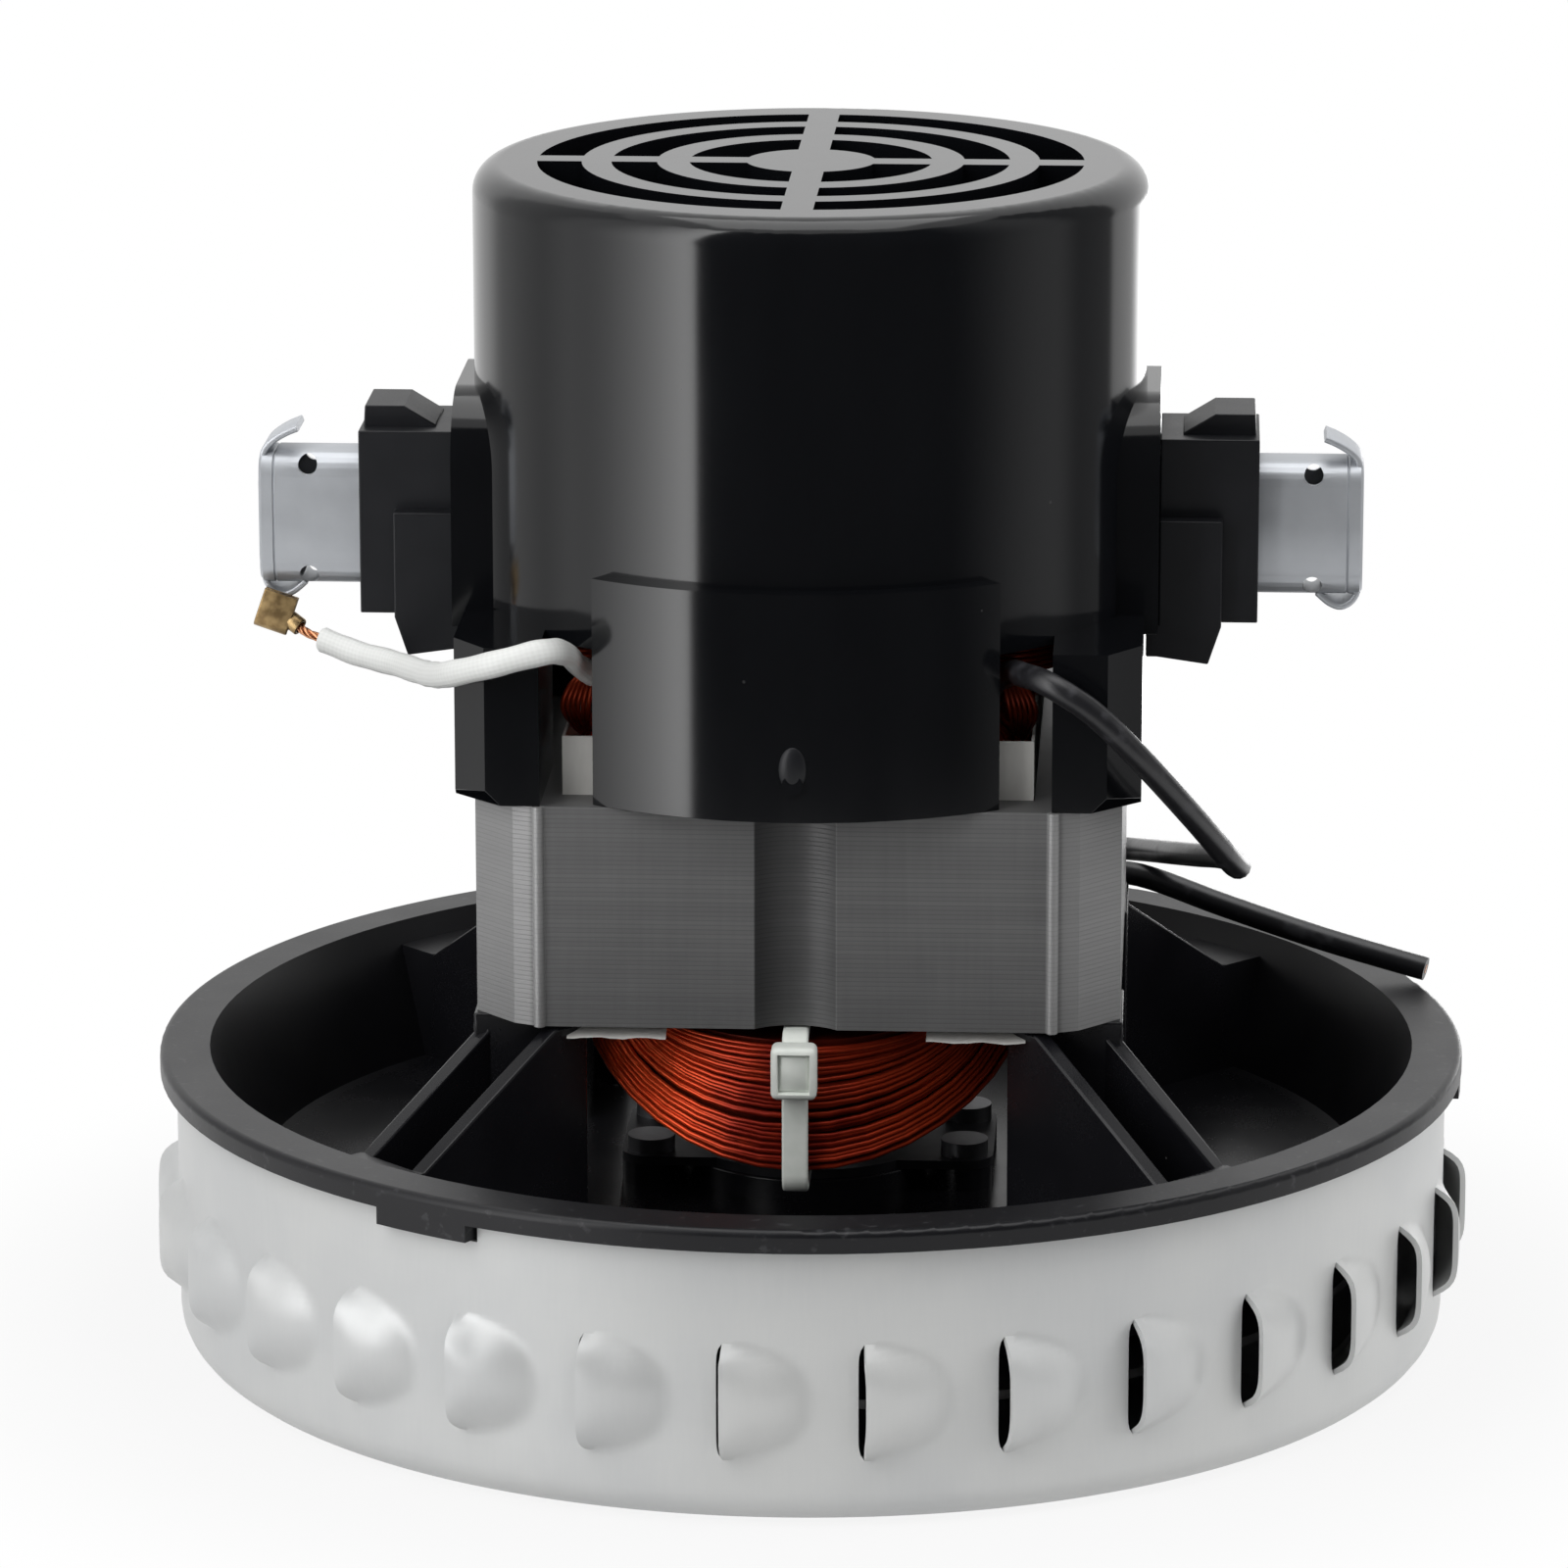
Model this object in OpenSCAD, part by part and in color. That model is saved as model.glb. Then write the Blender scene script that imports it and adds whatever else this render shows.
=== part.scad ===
// Vacuum motor unit: a louvred fan can closed by a bowl shaped fan bracket, a two pole stator with
// wound field coils standing on the bracket, and a cover that carries the brushes and the top bearing.
// Origin: middle of the can's underside. Z runs up the shaft, the brushes lie along X, the front is -Y.

/* [Fan can] */
// Height of the can from its base to its open edge
can_h = 30.2; // [27:0.1:34]
// Sheet thickness of the can
can_t = 0.8; // [0.5:0.1:1.1]
// Outside radius of the can's bottom corner
can_corner_r = 3.6; // [2.4:0.1:5]
// Diameter of the air inlet eye
eye_d = 41; // [36:0.5:46]
// Height of the eye's turned-in lip above the base
eye_lip_h = 3.4; // [2.6:0.1:3.6]
// Number of louvres
louvre_count = 30; // [20:1:34]
// Height of a louvre's slit
louvre_h = 12.2; // [9:0.1:14]
// How far a louvre stands out of the wall
louvre_out = 2.4; // [1.6:0.1:3]
// Height of the middle of the louvres above the base
louvre_z = 13.5; // [12:0.1:16]
// Angle from the front to the first slit
louvre_turn = 7.4; // [0:0.1:11]

/* [Fan bracket] */
// Outside diameter of the rim
rim_d = 144; // [138:1:156]
// Thickness of the rim
rim_t = 2.4; // [1.8:0.1:3.4]
// Width of the rim's flat top
rim_w = 5.5; // [4:0.1:7]
// How far the rim stands out past the can
rim_over = 1.8; // [1:0.1:2.6]
// Depth of the bowl below the rim's top
bowl_depth = 15.1; // [14:0.1:16]
// Wall and floor thickness of the bowl
bowl_t = 2.5; // [2:0.1:3]
// How far the bowl's wall leans in on its way down
bowl_lean = 5; // [3:0.1:7]
// Number of rim tabs that key into the can's edge
tab_count = 3; // [2:1:6]
// Width of a rim tab
tab_w = 11.5; // [8:0.5:16]
// Drop of a rim tab below the rim
tab_drop = 1.9; // [1:0.1:3]
// Angle from the front to the first rim tab
tab_turn = -31.5; // [-45:0.5:0]
// Width of a corner post
post_w = 8.6; // [7.6:0.1:9]
// Depth of a corner post
post_d = 13; // [11:0.1:14]
// Thickness of a sloping fin
fin_t = 2; // [1.4:0.1:2.6]
// Distance between the two fins of a corner
fin_gap = 8.4; // [7:0.1:10]

/* [Stator] */
// Width of the lamination stack
stack_w = 69; // [68:0.2:70.4]
// Depth of the lamination stack
stack_d = 66; // [64.4:0.2:68]
// Height of the lamination stack
stack_h = 24.2; // [20:0.1:30]
// Height of the stack's underside above the rim
stator_rise = 10; // [9:0.1:13]
// Width of the stack's flat front
front_flat = 54.6; // [50:0.2:57]
// Width of the bevel beside the flat front
bevel_w = 2.8; // [2:0.1:3.4]
// Depth of the bevel beside the flat front
bevel_d = 1.2; // [0.6:0.1:2]
// Length of the stack's flat side
side_flat = 54.2; // [50:0.2:58]
// Width of the groove down the flat front
groove_w = 8.8; // [6:0.1:11]
// Depth of the groove down the flat front
groove_d = 1.8; // [1:0.1:2.6]
// Diameter of the stator bore
stator_bore = 37.2; // [36:0.1:38]
// Width of a pole body
pole_w = 27; // [25:0.1:27.4]
// Thickness of a pole shoe
shoe_t = 3.4; // [2.6:0.1:3.6]
// Opening between the tips of the two poles
pole_gap = 14; // [10:0.2:15]
// Distance between the outer walls of the coil slots
slot_w = 50.4; // [50:0.1:51.4]
// Distance between the end walls of the coil slots
slot_d = 55.6; // [55.2:0.1:57]
// Thickness of the slot paper
paper_t = 0.3; // [0.2:0.05:0.4]
// Height of the slot paper above the stack
paper_rise = 6.4; // [2:0.1:9]
// Distance of a through bolt from the stack's side face
bolt_inset = 4; // [3.7:0.1:4.3]
// Distance of a through bolt from the stack's front or rear face
bolt_setback = 11; // [10:0.1:13]
// Diameter of a through bolt
bolt_d = 3.8; // [3:0.1:4.2]

/* [Field coils] */
// Number of loops in a coil's outer layer
coil_loops = 12; // [8:1:12]
// Diameter of the wire in the outer layer
coil_wire_d = 0.95; // [0.6:0.05:1]
// How far an end turn reaches past the stack
coil_reach = 15.8; // [12:0.1:17]
// Outward bulge of an end turn, measured from the shaft's axis
coil_bulge = 32.6; // [31:0.1:33]
// Width of a cable tie's strap
tie_w = 3; // [2:0.1:4.6]
// Thickness of a cable tie's strap
tie_t = 0.9; // [0.6:0.05:1]
// Width of a cable tie's head
tie_head_w = 5; // [4:0.1:6]
// Height of a cable tie's head
tie_head_h = 5.8; // [4.4:0.1:7]

/* [Cover] */
// Outside diameter of the cover's drum
cover_d = 73; // [71:0.2:76]
// Wall thickness of the drum
cover_wall = 2.5; // [1.8:0.1:3]
// Height of the cover above the stack
cover_h = 63.7; // [62:0.1:72]
// Thickness of the grille
grille_t = 3; // [2:0.1:4]
// Radius of the drum's top edge
cover_round = 3; // [1:0.1:4]
// Height of the drum's lower edge above the stack
drum_lift = 16.3; // [16:0.1:17]
// Height of the cover's legs
leg_h = 17.2; // [17.1:0.1:18]
// Width over the cover's legs
leg_span = 73; // [71.6:0.2:74]
// Clear width between a pair of legs
leg_gap = 54.2; // [53:0.2:55]
// Length of a leg along Y
leg_len = 17.5; // [15:0.1:18]
// Bevel on a leg's outer corner
leg_bevel = 3.6; // [2:0.1:4.4]
// Wall thickness between the two legs of a side
side_wall = 3; // [2:0.1:3.6]
// How far the front and rear panels stand out of the drum
panel_out = 2; // [1:0.1:2.6]
// Thickness of the front and rear panels
panel_t = 3; // [2:0.1:3.4]
// Height of the front and rear panels
panel_h = 24.6; // [22:0.1:30]
// Half the angle that a panel spans
panel_half = 34; // [26:0.5:35]
// Diameter of the grille's middle disc
grille_hub_d = 14; // [10:0.2:18]
// Width of the grille's inner slot
slot_1 = 6.1; // [4:0.1:7]
// Width of the grille's inner ring
ring_1 = 3.5; // [2:0.1:5]
// Width of the grille's middle slot
slot_2 = 4.9; // [3:0.1:6]
// Width of the grille's outer ring
ring_2 = 3.2; // [2:0.1:4.5]
// Width of the grille's outer slot
slot_3 = 4.8; // [3:0.1:5.6]
// Width of a grille spoke
spoke_w = 3.4; // [2:0.1:5]
// Width of a spider arm that holds the top bearing
arm_w = 4.4; // [3:0.1:6]

/* [Brush gear] */
// Height of the brushes' axis above the stack
brush_rise = 24.3; // [24:0.1:25]
// How far a brush tube stands out of its housing
tube_proud = 11.3; // [8.4:0.1:15]
// Height of a brush tube
tube_h = 14.6; // [13.6:0.1:15.2]
// Width of a brush tube
tube_w = 8.8; // [8:0.1:9.6]
// Sheet thickness of a brush tube
tube_t = 0.7; // [0.4:0.05:0.9]
// Corner radius of a brush tube
tube_r = 1.2; // [1:0.1:1.8]
// Length of a carbon brush
brush_len = 21; // [16:0.5:22]
// Diameter of the brush spring's wire
spring_wire_d = 0.9; // [0.5:0.05:1]
// Number of turns of a brush spring
spring_turns = 6; // [4:1:7]
// How far a boss stands out of the drum
boss_proud = 1.5; // [1.1:0.1:2.5]
// Width of a boss
boss_w = 29; // [24:0.2:32]
// Height of a boss
boss_h = 25; // [23:0.1:26]
// How far a brush housing stands out of its boss
housing_proud = 10.7; // [9.3:0.1:12.7]
// Width of a brush housing
housing_w = 14; // [13:0.1:16]
// Thickness of a housing's end collar
collar_t = 3.9; // [3:0.1:5]
// Height of the housing's ridge above the brush axis
ridge_top = 12.9; // [12:0.1:14]

/* [Shaft and bearings] */
// Bore of the ball bearings
bearing_bore = 8; // [7:0.1:8]
// Outside diameter of the ball bearings
bearing_d = 22; // [21.6:0.1:23]
// Width of the ball bearings
bearing_w = 7; // [6.4:0.1:7]
// Diameter of a bearing ball
ball_d = 4; // [3.4:0.1:4]
// Number of balls in a bearing
ball_count = 7; // [5:1:8]
// Number of armature slots
armature_slots = 12; // [8:1:14]
// Diameter of the commutator's running face
commutator_d = 25; // [23:0.1:27]
// Length of the commutator's running face
commutator_len = 15; // [13:0.1:15.4]
// Number of commutator bars
commutator_bars = 24; // [12:1:28]

/* [Fans] */
// Diameter of the impeller
impeller_d = 124; // [110:1:130]
// Height of the impeller blades
blade_h = 6.2; // [5:0.1:6.4]
// Number of impeller blades
blade_count = 9; // [6:1:12]
// Sheet thickness of the impeller
impeller_t = 1; // [0.6:0.1:1.2]
// Diameter of the cooling fan under the grille
cooler_d = 61; // [50:0.5:64]
// Number of blades on the cooling fan
cooler_blades = 8; // [5:1:12]

/* [Leads] */
// Diameter of the black supply lead
lead_d = 2.7; // [2:0.1:3]
// Diameter of the white sleeve on the brush lead
sleeve_d = 2.4; // [1.8:0.1:2.6]

/* [Hidden] */
$fn = 64;

// Clearance of a seated piece
seat = 0.1;
// Clearance of a piece that runs or slides
run = 0.3;
// Clearance of a piece pressed on the shaft
press = 0.02;

// Heights
rim_r = rim_d / 2;
can_r = rim_r - rim_over;
can_ri = can_r - can_t;
rim_top = can_h + rim_t;
floor_top = rim_top - bowl_depth;
floor_under = floor_top - bowl_t;
bowl_top_r = rim_r - rim_w;
bowl_floor_r = bowl_top_r - bowl_lean;
stack_z = rim_top + stator_rise;
stack_top = stack_z + stack_h;
cover_top = stack_top + cover_h;
drum_z = stack_top + drum_lift;
brush_z = stack_top + brush_rise;

// Louvre cap: a sphere that stands out of the wall by the louvre's depth over the slit's height
louvre_r = (pow(louvre_h / 2, 2) + pow(louvre_out, 2)) / (2 * louvre_out);
louvre_mid = can_r + louvre_out - louvre_r;

// Lower bearing, held in the bracket's hub
hub_rise = 2.5;
hub_lip = 1;
hub_wall = 3.4;
hub_r = bearing_d / 2 + hub_wall;
low_bearing_z = floor_top + hub_rise - bearing_w;
hub_z = low_bearing_z - hub_lip;
lip_r = bearing_d / 2 - 2;
plate_t = 1;
plate_screw_x = hub_r + 2.9;
plate_screw_y = 6.7;
screw_r = 1.4;
screw_head_r = 2.6;
screw_head_h = 1.7;

// Impeller, clamped on the shaft below the lower bearing
impeller_gap = 1;
impeller_r = impeller_d / 2;
back_z = hub_z - impeller_gap - impeller_t;
front_z = back_z - blade_h - impeller_t;
washer_t = 1.4;
washer_r = bearing_bore / 2 + 5;
nut_h = 3.6;
nut_flats = bearing_bore + 5;
spacer_r = bearing_bore / 2 + 2.4;
blade_in = eye_d / 2 + 3.5;
blade_out = impeller_r - 0.5;
blade_curve = 46;
blade_sweep = 48;
shaft_end = back_z - washer_t - nut_h - 0.3;

// Armature and commutator
shaft_r = bearing_bore / 2;
journal_r = shaft_r + 1;
armature_gap = 0.5;
armature_r = stator_bore / 2 - armature_gap;
slot_round = 2.5;
slot_mouth = 1.6;
slot_ring = armature_r - slot_round - 2.2;
end_turn_h = 9;
commutator_r = commutator_d / 2;
commutator_z = brush_z - commutator_len / 2;
bar_depth = 3.4;
bar_gap = 0.5;
riser_h = 2;

// Upper bearing, held in the cover's spider, and the cooling fan above it
top_bearing_z = commutator_z + commutator_len + 5.4;
wave_h = 1.1;
cup_ceiling = top_bearing_z + bearing_w + wave_h + seat;
cup_top = cup_ceiling + 1.6;
cup_r = bearing_d / 2 + 2.6;
cooler_z = cup_top + 1.2;
cooler_h = 8;
cooler_hub_r = shaft_r + 3.4;
shaft_top = cooler_z + cooler_h + 0.5;

// Brush gear
tube_in = commutator_r + 1.4;
brush_gap = 0.2;
brush_face = commutator_r + brush_gap;
brush_back = brush_face + brush_len;
brush_hh = tube_h / 2 - tube_t - run;
brush_hw = tube_w / 2 - tube_t - run;
spring_r = brush_hw - spring_wire_d / 2;
shank_in = 22;
shank_h = tube_h + 2.4;
shank_w = tube_w + 3.2;
boss_z = brush_z - 9.2;
block_top = 10.6;
block_step = 2;
block_foot = 13.8;
collar_foot = 9.6;
foot_w = housing_w + 4;

// Cover
cover_r = cover_d / 2;
cover_ri = cover_r - cover_wall;
panel_r = cover_r + panel_out;
boss_out = cover_r + boss_proud;
housing_out = boss_out + housing_proud;
tube_out = housing_out + tube_proud;
leg_x = leg_span / 2;
leg_y = stack_d / 2;
gap_x = leg_gap / 2;
slot_radii = [
    [grille_hub_d / 2, grille_hub_d / 2 + slot_1],
    [grille_hub_d / 2 + slot_1 + ring_1, grille_hub_d / 2 + slot_1 + ring_1 + slot_2],
    [
        grille_hub_d / 2 + slot_1 + ring_1 + slot_2 + ring_2,
        grille_hub_d / 2 + slot_1 + ring_1 + slot_2 + ring_2 + slot_3
    ]
];

// Through bolts, from the bracket's underside into the cover's legs
bolt_x = stack_w / 2 - bolt_inset;
bolt_y = stack_d / 2 - bolt_setback;
bolt_head_r = bolt_d / 2 + 1.7;
bolt_head_h = 2.6;
bolt_grip = 12;

// Field coil: the outer layer's loops run along a bent line, in the slot and at the end turn's middle
coil_off = 0.8;
coil_low = stack_z - coil_off;
coil_high = stack_top + coil_off;
wire_r = coil_wire_d / 2;
wire_in = pole_w / 2 + 1.4;
wire_out = slot_w / 2 - 1.25;
wire_far = slot_d / 2 - 1.5;
wire_bend = 17.5;
wire_near = 7.6;
coil_top_drop = 2;
coil_front_drop = coil_reach - 0.8;
coil_back = 22.5;
layer_bend = 0.56;
loop_rings = 24;
coil_core_gap = wire_r + 0.55;

// Slot paper lines the outer walls of a slot
paper_drop = 1.2;
paper_end = 7;

// White sleeve from the left clip, round the front left leg and into the gap beside it
sleeve_route = [
    [-tube_out + 6.8, -5.7, drum_z - 4.9], [-tube_out + 11, -8, drum_z - 5.9],
    [-leg_x - 8, -12, drum_z - 6.1], [-leg_x - 4.5, -18.5, drum_z - 5.7],
    [-leg_x - 2.5, -leg_y + 8, drum_z - 4.5],
    [-leg_x - 0.1, -leg_y + 1, drum_z - 2.6], [-leg_x + 5, -leg_y - 3, drum_z - 0.9],
    [-gap_x + 0.7, -leg_y - 2.4, drum_z - 0.5], [-gap_x + 2.7, -leg_y + 1.4, drum_z - 1.5],
    [-gap_x + 3.9, -leg_y + 5.6, drum_z - 2.7], [-gap_x + 6.1, -leg_y + 9, drum_z - 4.7]
];

// Black lead from the right gap, round the stator's right side, back in a loop and out over the rim
lead_route = [
    [gap_x - 6.5, -leg_y + 8.6, drum_z - 4.5], [gap_x - 4.5, -leg_y + 5.8, drum_z - 2.5],
    [gap_x - 3.1, -leg_y + 1.6, drum_z - 1.7], [gap_x - 0.3, -leg_y - 2.6, drum_z - 1.7],
    [leg_x - 5.1, -leg_y - 3.4, drum_z - 4.5], [leg_x - 0.1, -leg_y - 1.5, stack_top + 6.4],
    [leg_x + 5.5, -leg_y + 5, stack_top - 1.5], [leg_x + 9.7, -leg_y + 14, stack_top - 8.8],
    [leg_x + 10.5, -8, stack_top - 12.2], [leg_x + 9.1, 2, stack_top - 14], [leg_x + 6.4, 12, stack_z + 7.7],
    [leg_x + 3.5, leg_y - 9, stack_z + 4.7], [leg_x + 0.9, leg_y + 3, stack_z + 1.7],
    [leg_x - 1.9, leg_y + 13, stack_z - 0.8], [leg_x - 6.5, leg_y + 18.4, stack_z - 2],
    [leg_x - 11.9, leg_y + 17.4, stack_z - 2.4], [leg_x - 14.5, leg_y + 12.6, stack_z - 2.4],
    [leg_x - 12.1, leg_y + 7.6, stack_z - 2], [leg_x - 6.9, leg_y + 4.6, stack_z - 1.4],
    [leg_x - 0.5, leg_y + 2.2, stack_z - 1], [leg_x + 9.3, leg_y - 1.8, rim_top + 6.6],
    [rim_r - 15, 26.6, rim_top + 4.1], [rim_r - 3.4, 23.5, rim_top + 1.6]
];

// Vector helpers and the tube swept along a list of points
function unit(v) = v / norm(v);
function tangent(p, i) = unit(p[min(i + 1, len(p) - 1)] - p[max(i - 1, 0)]);
function tube_ring(p, i, r, sides, ref) =
    let (t = tangent(p, i), n = unit(cross(t, ref)), b = cross(t, n))
    [for (k = [0 : sides - 1]) p[i] + r * (cos(360 * k / sides) * n + sin(360 * k / sides) * b)];
function band_faces(i, j, sides) = [
    for (k = [0 : sides - 1])
        let (a = i * sides + k, b = i * sides + (k + 1) % sides)
        let (c = j * sides + (k + 1) % sides, d = j * sides + k)
        each [[a, d, c], [a, c, b]]
];
function cap_faces(base, sides, far) = [
    for (k = [1 : sides - 2]) far ? [base, base + k + 1, base + k] : [base, base + k, base + k + 1]
];
function smooth_point(p, i, t) =
    let (a = p[max(i - 1, 0)], b = p[i], c = p[i + 1], d = p[min(i + 2, len(p) - 1)])
    0.5 * (2 * b + (c - a) * t + (2 * a - 5 * b + 4 * c - d) * t * t + (3 * b - a - 3 * c + d) * t * t * t);
function smooth_route(p, steps) = [
    for (i = [0 : len(p) - 2]) for (s = [0 : steps - 1]) smooth_point(p, i, s / steps),
    p[len(p) - 1]
];

module tube_along(path, r, sides, ref) {
    rings = len(path);
    polyhedron(
        points = [for (i = [0 : rings - 1]) each tube_ring(path, i, r, sides, ref)],
        faces = concat(
            [for (i = [0 : rings - 2]) each band_faces(i, i + 1, sides)],
            cap_faces(0, sides, false),
            cap_faces((rings - 1) * sides, sides, true)
        ),
        convexity = 10
    );
}

// Field coil geometry: one turn passes under the pole, up a slot, over the pole and down the other slot
function lerp(a, b, t) = a + (b - a) * t;
function bent(a, b, c, s) = s < layer_bend ? lerp(a, b, s / layer_bend)
    : lerp(b, c, (s - layer_bend) / (1 - layer_bend));
function leg_point(s) = bent([wire_in, wire_far], [wire_out, wire_bend], [wire_out, wire_near], s);
function mid_point(s) = bent(
    [coil_top_drop, coil_bulge], [coil_front_drop, coil_bulge], [coil_reach, coil_back], s
);
function turn_point(q, m, t) =
    t < 10 ? let (f = 18 * t) [
        q[0] * cos(f), -lerp(q[1], m[1], pow(sin(f), 2)), coil_low - m[0] * sin(f)
    ] : t < 12 ? [-q[0], -q[1], lerp(coil_low, coil_high, (t - 10) / 2)]
    : t < 22 ? let (f = 18 * (t - 12)) [
        -q[0] * cos(f), -lerp(q[1], m[1], pow(sin(f), 2)), coil_high + m[0] * sin(f)
    ] : [q[0], -q[1], lerp(coil_high, coil_low, (t - 22) / 2)];
function winding_path() = [
    for (i = [0 : coil_loops * loop_rings])
        let (s = i / (coil_loops * loop_rings))
        turn_point(leg_point(s), mid_point(s), i % loop_rings)
];
function least_gap(p, apart, d) = min([
    for (i = [0 : len(p) - 1 - apart]) for (j = [i + apart : len(p) - 1]) norm(p[i] - p[j])
]) - d;

// The plain core inside the outer layer, as matching corners in the slot and at the end turn's middle
core_leg = [
    [wire_in - 0.6, 18.4],
    [wire_out - coil_core_gap, wire_near + 0.6],
    [wire_out - coil_core_gap, wire_bend - coil_core_gap * 0.5],
    [wire_in - 0.6, wire_far - coil_core_gap * 1.3]
];
core_mid = [
    [coil_top_drop - 1.1, coil_back - 0.5],
    [coil_reach - coil_core_gap, coil_back + 0.4],
    [coil_front_drop - coil_core_gap + 0.1, coil_bulge - coil_core_gap],
    [coil_top_drop - 1.1, coil_bulge - coil_core_gap]
];

coil_path = winding_path();
echo("field coil least gap between loops, mm", least_gap(coil_path, 12, coil_wire_d));

module coil_core() {
    corners = len(core_leg);
    polyhedron(
        points = [
            for (t = [0 : loop_rings - 1]) for (k = [0 : corners - 1])
                turn_point(core_leg[k], core_mid[k], t)
        ],
        faces = [for (t = [0 : loop_rings - 1]) each band_faces(t, (t + 1) % loop_rings, corners)],
        convexity = 10
    );
}

module field_coil() {
    coil_core();
    tube_along(coil_path, wire_r, 6, [0, 1, 0]);
}

// Small shared shapes
module ring(r_in, r_out, z, h) {
    translate([0, 0, z]) difference() {
        cylinder(r = r_out, h = h);
        translate([0, 0, -1]) cylinder(r = r_in, h = h + 2);
    }
}

module rounded_rect(w, h, r) {
    square([w - 2 * r, h], center = true);
    square([w, h - 2 * r], center = true);
    for (x = [-1, 1]) for (y = [-1, 1]) translate([x * (w / 2 - r), y * (h / 2 - r)]) circle(r = r);
}

// Lies a drawing made in Y and Z along the X axis
module along_x(x, length) {
    translate([x, 0, 0]) rotate([90, 0, 90]) linear_extrude(length) children();
}

// Lies a drawing made in X and Z across the Y axis
module across_y(width) {
    translate([0, width / 2, 0]) rotate([90, 0, 0]) linear_extrude(width) children();
}

module both_sides() {
    children();
    rotate([0, 0, 180]) children();
}

module four_corners(x, y) {
    for (sx = [-1, 1]) for (sy = [-1, 1]) translate([sx * x, sy * y, 0]) children();
}

// Fan can
module cup_section(r, h, corner) {
    translate([0, corner]) square([r, h - corner]);
    square([r - corner, h]);
    translate([r - corner, corner]) circle(r = corner);
}

module can_section() {
    eye_r = eye_d / 2;
    bend_r = can_t + 0.5;
    difference() {
        cup_section(can_r, can_h, can_corner_r);
        translate([0, can_t]) cup_section(can_ri, can_h, can_corner_r - can_t);
        translate([-1, -1]) square([eye_r + bend_r + 1, can_h]);
    }
    difference() {
        translate([eye_r, 0]) square([bend_r, eye_lip_h]);
        translate([eye_r + can_t, can_t]) square([bend_r, eye_lip_h]);
        difference() {
            translate([eye_r - 1, -1]) square([bend_r + 1, bend_r + 1]);
            translate([eye_r + bend_r, bend_r]) circle(r = bend_r);
        }
    }
}

module half_ball(r) {
    difference() {
        sphere(r = r);
        translate([-2 * r, -4 * r, -2 * r]) cube([4 * r, 4 * r, 4 * r]);
    }
}

module at_louvres() {
    for (i = [0 : louvre_count - 1])
        rotate([0, 0, louvre_turn - 90 + i * 360 / louvre_count])
            translate([louvre_mid, 0, louvre_z]) children();
}

module fan_can() {
    color("#c3c7c9") difference() {
        union() {
            rotate_extrude() can_section();
            difference() {
                at_louvres() half_ball(louvre_r);
                cylinder(r = can_r - can_t / 2, h = can_h);
            }
        }
        at_louvres() half_ball(louvre_r - can_t);
        at_tabs() translate([can_r, 0, can_h])
            cube([8, tab_w + 2 * run, 2 * (tab_drop + run)], center = true);
    }
}

// Fan bracket
module at_tabs() {
    for (i = [0 : tab_count - 1]) rotate([0, 0, tab_turn - 90 + i * 360 / tab_count]) children();
}

module bracket_section() {
    edge_r = 0.8;
    wall_low = floor_under + 0.6 * bowl_depth;
    polygon([
        [lip_r, floor_top], [bowl_floor_r, floor_top], [bowl_top_r, rim_top], [rim_r - edge_r, rim_top],
        [rim_r, rim_top - edge_r], [rim_r, can_h], [can_ri - seat, can_h], [can_ri - seat, wall_low],
        [bowl_floor_r + bowl_t / 2, floor_under], [lip_r, floor_under]
    ]);
    translate([rim_r - edge_r, rim_top - edge_r]) circle(r = edge_r);
    translate([lip_r, hub_z]) square([hub_r - lip_r, floor_top + hub_rise - hub_z]);
}

// A pair of fins leans from the stator's corner down to the bowl's wall
module corner_fins() {
    fin_in = sqrt(2) * (slot_d / 2 + 0.6) - (fin_gap - fin_t) / 2;
    fin_crest = fin_in + 4.4;
    fin_low = rim_top - 2.6;
    wall_r = bowl_top_r - bowl_lean * (rim_top - fin_low) / bowl_depth;
    for (side = [-1, 1])
        translate([0, side * fin_gap / 2, 0]) across_y(fin_t) polygon([
            [fin_in, floor_top - 0.5], [bowl_floor_r + 0.6, floor_top - 0.5], [wall_r + 0.8, fin_low],
            [wall_r - 6, fin_low], [fin_crest, stack_z - 0.4], [fin_in, stack_z - 0.4]
        ]);
    translate([0, 0, fin_low - 2]) across_y(fin_gap) polygon([
        [wall_r - 6, 0], [wall_r + 0.4, 0], [wall_r + 0.8, 2], [wall_r - 6, 2]
    ]);
}

module fan_bracket() {
    color("#17181a") difference() {
        union() {
            rotate_extrude() bracket_section();
            at_tabs() intersection() {
                translate([can_r, 0, can_h - tab_drop / 2 + 0.1])
                    cube([8, tab_w, tab_drop + 0.2], center = true);
                ring(can_ri - 1, rim_r - seat, 0, can_h + 1);
            }
            four_corners(bolt_x, bolt_y)
                translate([-post_w / 2, -post_d / 2, floor_top - 0.5])
                    cube([post_w, post_d, stack_z - floor_top + 0.5]);
            for (a = [45 : 90 : 315]) rotate([0, 0, a]) corner_fins();
            four_corners(plate_screw_x, plate_screw_y)
                translate([0, 0, floor_top - 0.5]) cylinder(r = screw_head_r + 0.6, h = hub_rise + 0.5);
        }
        translate([0, 0, low_bearing_z]) cylinder(r = bearing_d / 2 + seat, h = 2 * bearing_w);
        translate([0, 0, hub_z - 1]) cylinder(r = lip_r, h = bearing_w);
        four_corners(bolt_x, bolt_y) {
            translate([0, 0, floor_under - 1]) cylinder(r = bolt_d / 2 + seat, h = stack_z);
            translate([0, 0, floor_under - 1]) cylinder(r = bolt_head_r + seat, h = bolt_head_h + 1.4);
        }
        four_corners(plate_screw_x, plate_screw_y)
            translate([0, 0, floor_under + 1]) cylinder(r = screw_r + seat, h = bowl_depth);
    }
}

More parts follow.
